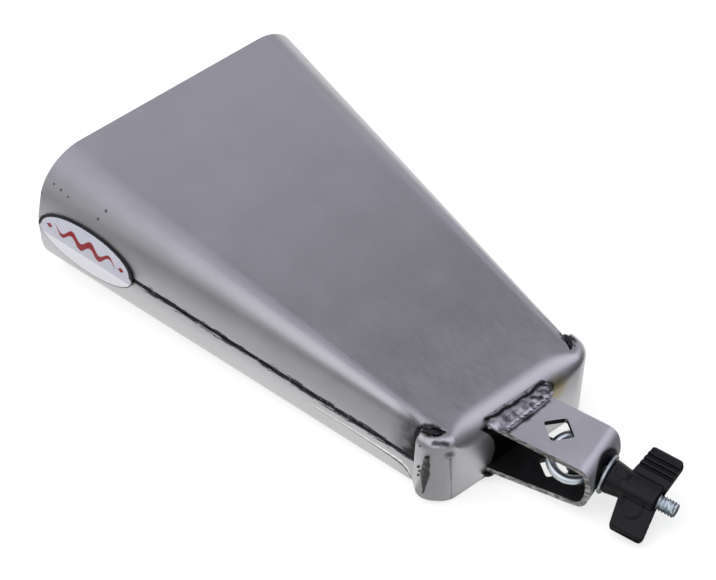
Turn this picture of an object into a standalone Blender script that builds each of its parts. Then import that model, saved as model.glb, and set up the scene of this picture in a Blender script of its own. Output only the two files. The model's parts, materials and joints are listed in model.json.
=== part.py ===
"""Bongo cowbell with its rod clamp, lying on its rear face.

The bell is two pressed sheet-steel halves welded along the sides. The front half
carries the end wall, whose ears wrap round the corners of the closed end. A U-shaped
strap is welded askew on the end wall. An eye bolt, a washer and a moulded wing nut
clamp a stand rod in the diamond holes of that strap.

Bell frame: u runs from the mouth to the closed end, v across, w up from the seam plane.
"""

import bmesh
import bpy
from math import asin, atan, ceil, cos, hypot, pi, radians, sin, sqrt, tan
from mathutils import Vector

# Bell body, outside sizes in metres
BELL_LENGTH = 0.203
MOUTH_WIDTH = 0.1366
MOUTH_HEIGHT = 0.0608
END_WIDTH = 0.0749
END_HEIGHT = 0.0342
MOUTH_FOLD_RADIUS = 0.0208
END_FOLD_RADIUS = 0.0040
MOUTH_SIDE_LEAN = radians(6.9)
END_SIDE_LEAN = radians(8.0)
SHELL_THICKNESS = 0.0016

# End wall and its ears
CORNER_RADIUS = 0.0107
EAR_TAIL = 0.0022
EAR_GAP = 0.0005
EAR_DOME_RADIUS = 0.0042
EAR_DROP = 0.0014
WALL_FOLD_RADIUS = 0.0100
WALL_FOLD_SHARE = 0.65
TOP_SETBACK = 0.0020
NOTCH_OPENING = radians(24.0)
NOTCH_END = radians(45.0)
NOTCH_DEPTH = 0.0060
NOTCH_RELIEF = 0.0070
EAR_FOOT_RADIUS = 0.0060
WALL_EDGE_HEIGHT = 0.0026

# Weld beads
SEAM_GROOVE = 0.0018
SEAM_WELD_DEPTH = 0.0012
SEAM_WELD_RECESS = 0.0003
RIPPLE_PITCH = 0.0024
CORNER_WELD_WIDTH = 0.0026
CORNER_WELD_HEIGHT = 0.0009
CORNER_WELD_ANGLE = radians(70.0)
STRAP_WELD_NEAR_REACH = 0.0062
STRAP_WELD_FAR_REACH = 0.0042
STRAP_WELD_OVERRUN = 0.0022
STRAP_WELD_SHIFT = 0.0017
STRAP_WELD_LOW_SIZE = 0.0024

# Strap of the rod clamp
STRAP_WIDTH = 0.0254
STRAP_THICKNESS = 0.0023
STRAP_ROOT_HEIGHT = 0.0257
STRAP_LENGTH = 0.0389
STRAP_BEND_RADIUS = 0.0056
STRAP_NOSE_RADIUS = 0.0200
STRAP_ARM_SLOPE = radians(4.2)
STRAP_YAW = radians(18.3)
STRAP_SIDE_SHIFT = -0.00195
STRAP_RISE = 0.0014
ROD_HOLE_SIDE = 0.0095
ROD_HOLE_CORNER = 0.0011
ROD_HOLE_CENTRE = 0.0183

# Eye bolt, washer and wing nut
BOLT_LEVEL = 0.0005
BOLT_DROOP = radians(6.4)
BOLT_DIAMETER = 0.00635
BOLT_TIP_CHAMFER = 0.0008
BOLT_TIP_BEYOND_NUT = 0.0081
EYE_WIRE = 0.0039
EYE_INSIDE = 0.0142
EYE_NESTLE = 0.0006
EYE_DROP = 0.0005
EYE_ROLL = radians(21.0)
WASHER_DIAMETER = 0.0160
WASHER_THICKNESS = 0.0012
NUT_LENGTH = 0.0208
NUT_SEAT_DIAMETER = 0.0137
NUT_NECK_DIAMETER = 0.0119
NUT_NECK_LENGTH = 0.0062
NUT_HUB_DIAMETER = 0.0126
WING_SPAN = 0.0356
WING_WIDTH = 0.0136
WING_ROOT_WIDTH = 0.0150
WING_OUTWARD_LEAN = 0.0034
WING_THICKNESS = 0.0062
WING_CORNER = 0.0024
WING_EDGE_ROUND = 0.0008
WING_GROOVE_WIDTH = 0.0009
WING_GROOVE_DEPTH = 0.0006
WING_GROOVE_PITCH = 0.0023
WING_GROOVE_COUNT = 3
WING_REST_ANGLE = radians(28.0)
INSERT_DIAMETER = 0.0088
INSERT_FLANGE_SETBACK = 0.0006

# Badge on the near side at the mouth
BADGE_LENGTH = 0.0490
BADGE_HEIGHT = 0.0268
BADGE_THICKNESS = 0.0004
BADGE_FROM_MOUTH = 0.0008

# Clearances
GAP = 0.0003
BOLT_HOLE_CLEARANCE = 0.0008
WASHER_CLEARANCE = 0.00035
THREAD_CLEARANCE = 0.0003

# Values that follow from the sizes
TAPER = atan((MOUTH_HEIGHT - END_HEIGHT) / 2 / BELL_LENGTH)
SIDE_TAPER = (MOUTH_WIDTH - END_WIDTH) / 2 / BELL_LENGTH
EAR_LENGTH = CORNER_RADIUS + EAR_TAIL
EAR_HALF_WIDTH = END_WIDTH / 2 + EAR_LENGTH * SIDE_TAPER + EAR_GAP + SHELL_THICKNESS
REST_LENGTH = BELL_LENGTH / cos(TAPER)
SEAM_EDGE = SEAM_GROOVE / 2
STRAP_ROOT_DROP = END_HEIGHT / 2 - STRAP_ROOT_HEIGHT / 2 - STRAP_RISE
EYE_OUTER_RADIUS = EYE_INSIDE / 2 + EYE_WIRE
EYE_CENTRE = EYE_NESTLE - STRAP_THICKNESS - GAP * 1.5 - EYE_OUTER_RADIUS
WASHER_SEAT = GAP * 1.5
NUT_SEAT = WASHER_SEAT + WASHER_THICKNESS + GAP
BOLT_TIP = NUT_SEAT + NUT_LENGTH + BOLT_TIP_BEYOND_NUT


def clear_scene():
    for obj in list(bpy.data.objects):
        bpy.data.objects.remove(obj, do_unlink=True)


def steel(name, colour, roughness, metallic):
    material = bpy.data.materials.new(name)
    material.use_nodes = True
    shader = material.node_tree.nodes["Principled BSDF"]
    shader.inputs["Base Color"].default_value = (*colour, 1.0)
    shader.inputs["Roughness"].default_value = roughness
    shader.inputs["Metallic"].default_value = metallic
    return material


def add_object(name, points, faces, material, parent, smooth=True):
    mesh = bpy.data.meshes.new(name)
    mesh.from_pydata([tuple(p) for p in points], [], faces)
    mesh.validate()
    obj = bpy.data.objects.new(name, mesh)
    bpy.context.scene.collection.objects.link(obj)
    if material:
        mesh.materials.append(material)
    obj.parent = parent
    if smooth:
        mesh.shade_smooth()
        mesh.set_sharp_from_angle(angle=radians(32))
    return obj


def face_outwards(obj):
    work = bmesh.new()
    work.from_mesh(obj.data)
    bmesh.ops.recalc_face_normals(work, faces=work.faces)
    work.to_mesh(obj.data)
    work.free()


def thicken(obj, thickness, offset):
    wall = obj.modifiers.new("sheet", "SOLIDIFY")
    wall.thickness = thickness
    wall.offset = offset
    wall.use_even_offset = True
    wall.use_rim = True


def boolean(obj, other, operation):
    other.hide_render = True
    other.display_type = "WIRE"
    cut = obj.modifiers.new(other.name, "BOOLEAN")
    cut.operation = operation
    cut.object = other
    cut.solver = "EXACT"


def swept(name, sections, material, parent):
    """A closed solid through rings of points, with flat ends."""
    points = [p for ring in sections for p in ring]
    count = len(sections[0])
    faces = []
    for i in range(len(sections) - 1):
        for k in range(count):
            following = (k + 1) % count
            low = i * count
            high = low + count
            faces.append((low + k, low + following, high + following, high + k))
    faces.append(tuple(reversed(range(count))))
    last = (len(sections) - 1) * count
    faces.append(tuple(range(last, last + count)))
    obj = add_object(name, points, faces, material, parent)
    face_outwards(obj)
    return obj


def lathe(name, profile, segments, material, parent):
    """A closed profile of (x, radius) turned about the x axis."""
    points = []
    for x, radius in profile:
        for k in range(segments):
            angle = 2 * pi * k / segments
            points.append((x, radius * cos(angle), radius * sin(angle)))
    faces = []
    rings = len(profile)
    for i in range(rings):
        low = i * segments
        high = ((i + 1) % rings) * segments
        for k in range(segments):
            following = (k + 1) % segments
            faces.append((low + k, low + following, high + following, high + k))
    obj = add_object(name, points, faces, material, parent)
    face_outwards(obj)
    return obj


def prism(name, outline, low, high, material, parent):
    """An outline of (x, y) raised from z = low to z = high."""
    count = len(outline)
    points = [(x, y, low) for x, y in outline] + [(x, y, high) for x, y in outline]
    faces = [tuple(reversed(range(count))), tuple(range(count, 2 * count))]
    for k in range(count):
        following = (k + 1) % count
        faces.append((k, following, count + following, count + k))
    obj = add_object(name, points, faces, material, parent)
    face_outwards(obj)
    return obj


def rounded(corners, radii, segments):
    """The closed outline with an arc of its own radius at each corner."""
    outline = []
    count = len(corners)
    for k in range(count):
        here = Vector(corners[k])
        back = (Vector(corners[k - 1]) - here).normalized()
        on = (Vector(corners[(k + 1) % count]) - here).normalized()
        radius = radii[k]
        half = back.angle(on) / 2
        if radius <= 0 or half > radians(89):
            outline.append(tuple(here))
            continue
        reach = radius / tan(half)
        centre = here + (back + on).normalized() * (radius / sin(half))
        first = here + back * reach - centre
        last = here + on * reach - centre
        turn = first.angle_signed(last)
        for i in range(segments + 1):
            angle = -turn * i / segments
            outline.append(
                (
                    centre.x + first.x * cos(angle) - first.y * sin(angle),
                    centre.y + first.x * sin(angle) + first.y * cos(angle),
                )
            )
    return outline


def from_wall(s, v, n):
    """Bell-frame point s past the end wall, v across and n below the front face."""
    return Vector((BELL_LENGTH + s * cos(TAPER), v, END_HEIGHT / 2 - s * sin(TAPER) - n))


def past_wall(point):
    return (point.x - BELL_LENGTH) / cos(TAPER)


def height_above_rest(point):
    return (point.z + MOUTH_HEIGHT / 2) * cos(TAPER) - point.x * sin(TAPER)


def at_height(s, v, height):
    """The point of the end region that lies this far above the rest plane."""
    top = height_above_rest(from_wall(s, v, 0.0))
    return from_wall(s, v, (top - height) / cos(TAPER))


def section_sizes(share):
    def between(mouth, end):
        return mouth + (end - mouth) * share

    return (
        between(MOUTH_WIDTH, END_WIDTH) / 2,
        between(MOUTH_HEIGHT, END_HEIGHT) / 2,
        between(MOUTH_FOLD_RADIUS, END_FOLD_RADIUS),
        between(MOUTH_SIDE_LEAN, END_SIDE_LEAN),
    )


def half_section(share, segments):
    """Points (v, w) of one half from its near seam edge over the fold to mid-panel."""
    width, height, radius, lean = section_sizes(share)
    level = height - radius
    centre = (radius + level * sin(lean)) / cos(lean) - width
    points = [(-width + SEAM_EDGE * tan(lean), SEAM_EDGE)]
    for i in range(segments + 1):
        angle = pi - lean - (pi / 2 - lean) * i / segments
        points.append((centre + radius * cos(angle), level + radius * sin(angle)))
    flat = points[-1][0]
    points += [(flat * 0.9, height), (flat * 0.45, height), (0.0, height)]
    return points


def rulings(side, segments=12):
    """Straight lines of one half from mouth to closed end, near seam to far seam."""
    mouth = half_section(0.0, segments)
    end = half_section(1.0, segments)
    near = []
    for (v0, w0), (v1, w1) in zip(mouth, end):
        start = Vector((0.0, v0, side * w0))
        near.append((start, Vector((BELL_LENGTH, v1, side * w1))))
    mirror = Vector((1.0, -1.0, 1.0))
    far = [(a * mirror, b * mirror) for a, b in reversed(near[:-1])]
    return near + far


def inside_wall(point, clearance):
    """True where the point clears the inside of the end wall and its ears."""
    s = past_wall(point)
    side = abs(point.y) - (EAR_HALF_WIDTH - CORNER_RADIUS)
    if s > -SHELL_THICKNESS - clearance:
        return False
    if s < -CORNER_RADIUS or side < 0:
        return True
    return hypot(s + CORNER_RADIUS, side) < CORNER_RADIUS - SHELL_THICKNESS - clearance


def trimmed(ruling, clearance):
    """The share of a ruling that fits inside the end wall."""
    start, end = ruling
    low = 0.5
    high = 1.1
    for _ in range(40):
        middle = (low + high) / 2
        if inside_wall(start.lerp(end, middle), clearance):
            low = middle
        else:
            high = middle
    return low


def share_at(ruling, s):
    first = past_wall(ruling[0])
    return (s - first) / (past_wall(ruling[1]) - first)


def wall_columns(steps=10):
    """Columns round the end wall: outer point (s, v), inward direction and corner angle."""
    corner = EAR_HALF_WIDTH - CORNER_RADIUS
    columns = [((-EAR_LENGTH, -EAR_HALF_WIDTH), (0.0, 1.0), pi / 2)]
    for i in range(steps + 1):
        angle = pi / 2 * (1 - i / steps)
        outer = (
            -CORNER_RADIUS + CORNER_RADIUS * cos(angle),
            -corner - CORNER_RADIUS * sin(angle),
        )
        columns.append((outer, (-cos(angle), sin(angle)), angle))
    for share in (0.88, 0.75, 0.6, 0.3):
        columns.append(((0.0, -corner * share), (-1.0, 0.0), 0.0))
    middle = [((0.0, 0.0), (-1.0, 0.0), 0.0)]
    far = [((s, -v), (a, -b), t) for (s, v), (a, b), t in reversed(columns)]
    return columns + middle + far


def fold_radius(v):
    """Radius of the end fold, wide in the middle and tight at the corners."""
    corner = EAR_HALF_WIDTH - CORNER_RADIUS
    start = corner * WALL_FOLD_SHARE
    end = corner + CORNER_RADIUS * 0.2
    reach = min(1.0, max(0.0, (abs(v) - start) / (end - start)))
    return EAR_DOME_RADIUS + (WALL_FOLD_RADIUS - EAR_DOME_RADIUS) * cos(reach * pi / 2)


def build_front_shell(material, parent, dome_steps=8):
    lines = rulings(1.0)
    flat_from = 13
    flat_to = len(lines) - 14
    points = []
    faces = []
    for ruling in lines:
        points.append(ruling[0])
    count = len(lines)
    for k, ruling in enumerate(lines):
        share = share_at(ruling, -NOTCH_DEPTH)
        if flat_from < k < flat_to:
            share = share_at(ruling, -fold_radius(ruling[1].y) - TOP_SETBACK)
        if not flat_from <= k <= flat_to:
            fold = max(0, min(k, count - 1 - k) - 1) / (flat_from - 1)
            share = trimmed(ruling, GAP * 2) * (1 - fold) + share * fold
            share -= NOTCH_RELIEF * sin(pi * fold) / BELL_LENGTH
        points.append(ruling[0].lerp(ruling[1], share))
    for k in range(count - 1):
        faces.append((k, k + 1, count + k + 1, count + k))

    columns = wall_columns()
    first = len(points)
    rows = dome_steps + 3
    for (s, v), (ds, dv), angle in columns:
        radius = fold_radius(v)
        loose = max(0.0, (angle - NOTCH_END) / (pi / 2 - NOTCH_END))
        opening = loose * NOTCH_OPENING
        drop = loose * EAR_DROP
        for i in range(dome_steps + 1):
            turn = opening + (pi / 2 - opening) * i / dome_steps
            inset = radius * (1 - sin(turn))
            depth = drop + radius * (1 - cos(turn))
            points.append(from_wall(s + ds * inset, v + dv * inset, depth))
        from_back = s + EAR_LENGTH
        lift = 0.0
        if from_back < EAR_FOOT_RADIUS:
            lift = EAR_FOOT_RADIUS - sqrt(EAR_FOOT_RADIUS**2 - (EAR_FOOT_RADIUS - from_back) ** 2)
        foot = at_height(s, v, WALL_EDGE_HEIGHT + lift)
        shoulder = from_wall(s, v, drop + radius)
        points.append(shoulder.lerp(foot, 0.5))
        points.append(foot)
    for j in range(len(columns) - 1):
        for i in range(rows - 1):
            a = first + j * rows + i
            b = a + rows
            faces.append((a, a + 1, b + 1, b))
    lid = [count + k for k in range(flat_from, flat_to + 1)]
    attached = [j for j, column in enumerate(columns) if column[2] <= NOTCH_END + 1e-6]
    lid += [first + j * rows for j in reversed(attached)]
    faces.append(tuple(lid))

    obj = add_object("front_shell", points, faces, material, parent)
    face_outwards(obj)
    if obj.data.polygons[len(faces) - 1].normal.z < 0:
        obj.data.flip_normals()
    thicken(obj, SHELL_THICKNESS, -1.0)
    return obj


def build_rear_shell(material, parent):
    lines = rulings(-1.0)
    points = [ruling[0] for ruling in lines]
    points += [r[0].lerp(r[1], trimmed(r, GAP)) for r in lines]
    count = len(lines)
    faces = [(k, k + 1, count + k + 1, count + k) for k in range(count - 1)]
    obj = add_object("rear_shell", points, faces, material, parent)
    face_outwards(obj)
    if obj.data.polygons[count // 2].normal.z > 0:
        obj.data.flip_normals()
    thicken(obj, SHELL_THICKNESS, -1.0)
    return obj


def build_seam_weld(name, side, material, parent):
    """The bead in the groove where the two halves meet, a little below their edges."""
    length = BELL_LENGTH - EAR_LENGTH
    steps = ceil(length / RIPPLE_PITCH)
    half = SEAM_EDGE - GAP - SHELL_THICKNESS * sin(max(MOUTH_SIDE_LEAN, END_SIDE_LEAN))
    sections = []
    for i in range(steps + 1):
        u = GAP * 2 + (length - GAP * 2) * i / steps
        width = section_sizes(u / BELL_LENGTH)[0]
        swell = 0.00012 * (1 + sin(i * 2.4))
        outer = width - SEAM_WELD_RECESS - swell
        inner = outer - SEAM_WELD_DEPTH + swell
        ring = []
        for v, w in ((outer - 0.0002, -half), (outer, -half / 2), (outer, half / 2)):
            ring.append(Vector((u, side * v, w)))
        for v, w in ((outer - 0.0002, half), (inner, half), (inner, -half)):
            ring.append(Vector((u, side * v, w)))
        sections.append(ring)
    return swept(name, sections, material, parent)


def build_corner_weld(name, side, material, parent):
    """The upright bead on the round of each ear."""
    low = WALL_EDGE_HEIGHT + 0.0035
    corner = EAR_HALF_WIDTH - CORNER_RADIUS
    top = height_above_rest(from_wall(0.0, 0.0, EAR_DROP + EAR_DOME_RADIUS + 0.002))
    steps = 16
    sections = []
    for i in range(steps + 1):
        share = i / steps
        height = low + (top - low) * share
        half = CORNER_WELD_WIDTH / 2 * (0.45 + 0.55 * sin(pi * min(1.0, share * 0.8 + 0.15)))
        thick = CORNER_WELD_HEIGHT * (0.8 + 0.2 * sin(i * 2.1))
        half *= 1 + 0.1 * sin(i * 1.7)
        ring = []
        for across, out in ((-1, 0.0), (-0.7, 0.7), (0, 1.0), (0.7, 0.7), (1, 0.0), (0.4, 0.0), (-0.4, 0.0)):
            angle = CORNER_WELD_ANGLE + across * half / CORNER_RADIUS
            radius = CORNER_RADIUS + GAP + out * thick
            s = -CORNER_RADIUS + radius * cos(angle)
            v = -corner - radius * sin(angle)
            point = at_height(s, v, height)
            ring.append(Vector((point.x, -side * point.y, point.z)))
        sections.append(ring)
    return swept(name, sections, material, parent)


def build_end_weld(material, parent):
    """The bead that closes the corner between the rear panel and the end wall."""
    profile = (
        (0.00010, WALL_EDGE_HEIGHT - GAP),
        (0.00012, WALL_EDGE_HEIGHT * 0.6),
        (0.00045, WALL_EDGE_HEIGHT * 0.28),
        (SHELL_THICKNESS * 0.75, GAP),
        (SHELL_THICKNESS - 0.0001, GAP),
        (SHELL_THICKNESS - 0.0001, WALL_EDGE_HEIGHT - GAP),
    )
    sections = []
    for (s, v), (ds, dv), angle in wall_columns():
        if angle > radians(40):
            continue
        ring = [at_height(s + ds * inset, v + dv * inset, high) for inset, high in profile]
        sections.append(ring)
    return swept("end_weld", sections, material, parent)


def strap_point(a, b, w):
    """Bell-frame point of the strap: a along it, b across it, w from the seam plane."""
    return Vector(
        (
            BELL_LENGTH + a * cos(STRAP_YAW) - b * sin(STRAP_YAW),
            STRAP_SIDE_SHIFT + a * sin(STRAP_YAW) + b * cos(STRAP_YAW),
            w,
        )
    )


def strap_root(b, stand_off):
    """Distance along the strap at which it stands this far off the end wall."""
    return (stand_off + b * sin(STRAP_YAW)) / cos(STRAP_YAW)


def strap_profile(offset, segments=7):
    """The U of the strap in (a, w), its outer line drawn in by offset."""
    slope = STRAP_ARM_SLOPE
    radius = STRAP_BEND_RADIUS - offset
    nose_radius = STRAP_NOSE_RADIUS - offset
    nose_centre = STRAP_LENGTH - STRAP_NOSE_RADIUS
    inset = STRAP_NOSE_RADIUS - STRAP_BEND_RADIUS
    drop = (STRAP_LENGTH - STRAP_BEND_RADIUS) * tan(slope)
    bend_w = STRAP_ROOT_HEIGHT / 2 - drop - STRAP_BEND_RADIUS / cos(slope)
    nose = asin(bend_w / inset)
    bend_a = nose_centre + inset * cos(nose)
    upper = [(0.0, STRAP_ROOT_HEIGHT / 2 - offset / cos(slope))]
    for i in range(segments + 1):
        angle = pi / 2 - slope - (pi / 2 - slope - nose) * i / segments
        upper.append((bend_a + radius * cos(angle), bend_w + radius * sin(angle)))
    for angle in (nose * 0.6, nose * 0.2):
        upper.append((nose_centre + nose_radius * cos(angle), nose_radius * sin(angle)))
    return upper + [(a, -w) for a, w in reversed(upper)]


def build_strap(material, parent):
    outer = strap_profile(0.0)
    inner = strap_profile(STRAP_THICKNESS)
    points = []
    faces = []
    for b in (-STRAP_WIDTH / 2, STRAP_WIDTH / 2):
        for line in (outer, inner):
            for k, (a, w) in enumerate(line):
                if k in (0, len(line) - 1):
                    a = strap_root(b, GAP)
                    w -= a * tan(STRAP_ARM_SLOPE) * (1 if k == 0 else -1)
                points.append((a, b, w))
    count = len(outer)
    for k in range(count - 1):
        near_out = k
        near_in = count + k
        far_out = 2 * count + k
        far_in = 3 * count + k
        faces.append((near_out, near_out + 1, near_in + 1, near_in))
        faces.append((far_out, far_in, far_in + 1, far_out + 1))
        faces.append((near_out, far_out, far_out + 1, near_out + 1))
        faces.append((near_in, near_in + 1, far_in + 1, far_in))
    for k in (0, count - 1):
        faces.append((k, count + k, 3 * count + k, 2 * count + k))
    obj = add_object("bracket", points, faces, material, parent)
    face_outwards(obj)
    obj.location = (BELL_LENGTH, STRAP_SIDE_SHIFT, STRAP_RISE)
    obj.rotation_euler = (0.0, 0.0, STRAP_YAW)

    reach = ROD_HOLE_SIDE / sqrt(2)
    corners = [(reach, 0.0), (0.0, reach), (-reach, 0.0), (0.0, -reach)]
    outline = rounded(corners, [ROD_HOLE_CORNER] * 4, 4)
    rod_hole = prism("rod_hole_cutter", outline, -STRAP_ROOT_HEIGHT, STRAP_ROOT_HEIGHT, None, obj)
    rod_hole.location = (ROD_HOLE_CENTRE, 0.0, 0.0)
    boolean(obj, rod_hole, "DIFFERENCE")
    radius = BOLT_DIAMETER / 2 + BOLT_HOLE_CLEARANCE
    start = STRAP_LENGTH - STRAP_THICKNESS * 2
    end = STRAP_LENGTH + STRAP_THICKNESS
    bolt_hole = swept(
        "bolt_hole_cutter",
        [[Vector((x, radius * cos(t), radius * sin(t))) for t in circle(32)] for x in (start, end)],
        None,
        obj,
    )
    bolt_hole.location = (0.0, 0.0, BOLT_LEVEL - STRAP_RISE)
    boolean(obj, bolt_hole, "DIFFERENCE")
    return obj


def circle(segments):
    return [2 * pi * k / segments for k in range(segments)]


def bead_share(share, length):
    """Size of a bead along its length: rippled, and rounded off at both ends."""
    from_end = min(share, 1 - share) * length
    reach = min(1.0, from_end / 0.003 + 0.25)
    return sqrt(1 - (1 - reach) ** 2) * (1 + 0.07 * sin(share * length / RIPPLE_PITCH * 2 * pi))


def build_upper_strap_weld(material, parent):
    """The bead in the angle between the end fold and the upper arm of the strap."""
    half = STRAP_WIDTH / 2 / cos(STRAP_YAW) + STRAP_WELD_OVERRUN
    steps = 30
    sections = []
    for i in range(steps + 1):
        share = i / steps
        v = STRAP_SIDE_SHIFT + STRAP_WELD_SHIFT - half + 2 * half * share
        radius = fold_radius(v)
        size = bead_share(share, 2 * half)
        floor = STRAP_ROOT_DROP - GAP
        reach = STRAP_WELD_NEAR_REACH + (STRAP_WELD_FAR_REACH - STRAP_WELD_NEAR_REACH) * share
        foot_turn = asin(min(1.0, sqrt(1 - max(0.0, 1 - floor / radius) ** 2)))
        ring = []
        for back in (-0.36, -0.18, 0.0, 0.05, 0.10):
            turn = foot_turn * (1 - size * max(back, 0.0) - min(back, 0.0))
            s = -radius * (1 - sin(turn)) + GAP * sin(turn)
            n = radius * (1 - cos(turn)) - GAP * cos(turn)
            ring.append((s, n))
        corner_s, corner_n = ring[2]
        toe = (corner_s + (reach - corner_s) * max(0.3, size), floor)
        back = ring[-1]
        crown = ((back[0] + toe[0]) / 2 + 0.0006, min(back[1], corner_n) - 0.0011 * size)
        for t in (0.2, 0.4, 0.6, 0.8):
            s = (1 - t) ** 2 * back[0] + 2 * t * (1 - t) * crown[0] + t * t * toe[0]
            n = (1 - t) ** 2 * back[1] + 2 * t * (1 - t) * crown[1] + t * t * toe[1]
            ring.append((s, n))
        ring += [toe, (0.0, floor), (0.0, ring[0][1])]
        sections.append([from_wall(s, v, n) for s, n in ring])
    return swept("bracket_weld_upper", sections, material, parent)


def build_lower_strap_weld(material, parent):
    """The bead under the lower arm of the strap, against the end wall."""
    half = STRAP_WIDTH / 2 / cos(STRAP_YAW) + STRAP_WELD_OVERRUN / 2
    floor = END_HEIGHT / 2 + STRAP_ROOT_HEIGHT / 2 - STRAP_RISE + GAP * 2
    steps = 24
    sections = []
    for i in range(steps + 1):
        share = i / steps
        v = STRAP_SIDE_SHIFT - half + 2 * half * share
        size = STRAP_WELD_LOW_SIZE * bead_share(share, 2 * half)
        ring = [(GAP, floor), (GAP + size * 1.2, floor)]
        for t in (0.3, 0.6, 0.85):
            angle = pi / 2 * t
            ring.append((GAP + size * 1.2 * cos(angle), floor + size * sin(angle)))
        ring.append((GAP, floor + size))
        sections.append([from_wall(s, v, n) for s, n in ring])
    return swept("bracket_weld_lower", sections, material, parent)


def build_eye_bolt(material, parent):
    """A ring of round wire on a shank that the nut draws through the strap."""
    middle = (EYE_INSIDE + EYE_WIRE) / 2
    points = []
    faces = []
    around = 56
    tube = 20
    for k in range(around):
        angle = 2 * pi * k / around
        for i in range(tube):
            turn = 2 * pi * i / tube
            radius = middle + EYE_WIRE / 2 * cos(turn)
            points.append((radius * cos(angle), radius * sin(angle), EYE_WIRE / 2 * sin(turn)))
    for k in range(around):
        for i in range(tube):
            a = k * tube + i
            b = ((k + 1) % around) * tube + i
            c = ((k + 1) % around) * tube + (i + 1) % tube
            faces.append((a, b, c, k * tube + (i + 1) % tube))
    ring = add_object("eye_bolt", points, faces, material, parent)
    face_outwards(ring)
    ring.location = (EYE_CENTRE, 0.0, -EYE_DROP)
    ring.rotation_euler = (EYE_ROLL, 0.0, 0.0)

    radius = BOLT_DIAMETER / 2
    tip = BOLT_TIP - EYE_CENTRE
    neck = middle + EYE_WIRE * 0.2
    profile = (
        (middle - EYE_WIRE * 0.1, EYE_WIRE * 0.30),
        (neck, EYE_WIRE * 0.42),
        (middle + EYE_WIRE / 2 + GAP, radius),
        (tip - BOLT_TIP_CHAMFER, radius),
        (tip, radius - BOLT_TIP_CHAMFER),
    )
    lift = Vector((0.0, sin(EYE_ROLL), cos(EYE_ROLL))) * EYE_DROP
    sections = [
        [Vector((x, r * cos(t), r * sin(t))) + lift for t in circle(32)] for x, r in profile
    ]
    shank = swept("shank_helper", sections, None, ring)
    boolean(ring, shank, "UNION")
    return ring


def build_washer(material, parent):
    inner = BOLT_DIAMETER / 2 + WASHER_CLEARANCE
    outer = WASHER_DIAMETER / 2
    edge = WASHER_THICKNESS * 0.15
    profile = (
        (0.0, inner),
        (WASHER_THICKNESS, inner),
        (WASHER_THICKNESS, outer - edge),
        (WASHER_THICKNESS - edge, outer),
        (edge, outer),
        (0.0, outer - edge),
    )
    washer = lathe("washer", profile, 48, material, parent)
    washer.location = (WASHER_SEAT, 0.0, 0.0)
    return washer


def wing_outline():
    """Both wings as one outline in (x along the bolt, y out to the tips)."""
    root_left = NUT_NECK_LENGTH - 0.0004
    tip_left = root_left + WING_OUTWARD_LEAN
    tip_right = tip_left + WING_WIDTH
    half = WING_SPAN / 2
    right = root_left + WING_ROOT_WIDTH
    corners = [
        (root_left, 0.0),
        (tip_left, half),
        (tip_right, half),
        (right, 0.0),
        (tip_right, -half),
        (tip_left, -half),
    ]
    radii = [0.0, WING_CORNER * 0.7, WING_CORNER, 0.0, WING_CORNER, WING_CORNER * 0.7]
    return rounded(corners, radii, 6)


def build_wing_nut(material, parent):
    """Moulded wing nut: tapered seat, hub and two wings with finger grooves."""
    half = WING_THICKNESS / 2
    nut = prism("wing_nut", wing_outline(), -half * 1.2, half * 1.2, material, parent)
    nut.location = (NUT_SEAT, 0.0, 0.0)
    nut.rotation_euler = (WING_REST_ANGLE, 0.0, 0.0)
    tips = [(-WING_SPAN / 2, -half), (WING_SPAN / 2, -half), (WING_SPAN / 2, half), (-WING_SPAN / 2, half)]
    tips = rounded(tips, [half * 0.96] * 4, 6)
    ends = (-NUT_LENGTH * 0.2, NUT_LENGTH * 1.5)
    blank = swept("wing_blank_helper", [[Vector((x, y, z)) for y, z in tips] for x in ends], None, nut)
    boolean(nut, blank, "INTERSECT")
    edge = nut.modifiers.new("moulded edges", "BEVEL")
    edge.width = WING_EDGE_ROUND
    edge.segments = 3
    edge.limit_method = "ANGLE"
    edge.angle_limit = radians(50)

    seat = NUT_SEAT_DIAMETER / 2
    neck = NUT_NECK_DIAMETER / 2
    hub = NUT_HUB_DIAMETER / 2
    profile = (
        (0.0, seat - 0.0004),
        (0.0004, seat),
        (NUT_NECK_LENGTH, neck),
        (NUT_NECK_LENGTH + 0.002, hub),
        (NUT_LENGTH - 0.0008, hub),
        (NUT_LENGTH + 0.0002, hub - 0.0010),
    )
    sections = [
        [Vector((x, r * cos(t), r * sin(t))) for t in circle(40)] for x, r in profile
    ]
    boolean(nut, swept("nut_hub_helper", sections, None, nut), "UNION")

    bore = INSERT_DIAMETER / 2 + GAP
    sections = [
        [Vector((x, bore * cos(t), bore * sin(t))) for t in circle(32)]
        for x in (-NUT_LENGTH * 0.1, NUT_LENGTH * 1.1)
    ]
    boolean(nut, swept("nut_bore_cutter", sections, None, nut), "DIFFERENCE")

    groove_reach = WING_SPAN / 2 - WING_CORNER * 0.45
    for turned in (1.0, -1.0):
        for k in range(WING_GROOVE_COUNT):
            centre = groove_reach - WING_GROOVE_WIDTH - k * WING_GROOVE_PITCH
            low = centre - WING_GROOVE_WIDTH / 2
            high = centre + WING_GROOVE_WIDTH / 2
            start = NUT_NECK_LENGTH - 0.004
            end = NUT_LENGTH + WING_OUTWARD_LEAN + 0.004
            outline = [(start, low), (end, low), (end, high), (start, high)]
            name = f"groove_cutter_{'upper' if turned > 0 else 'lower'}_{k + 1}"
            floor = half - WING_GROOVE_DEPTH
            cutter = prism(name, outline, floor, half + 0.002, None, nut)
            cutter.rotation_euler = (0.0 if turned > 0 else pi, 0.0, 0.0)
            boolean(nut, cutter, "DIFFERENCE")
    return nut


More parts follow.
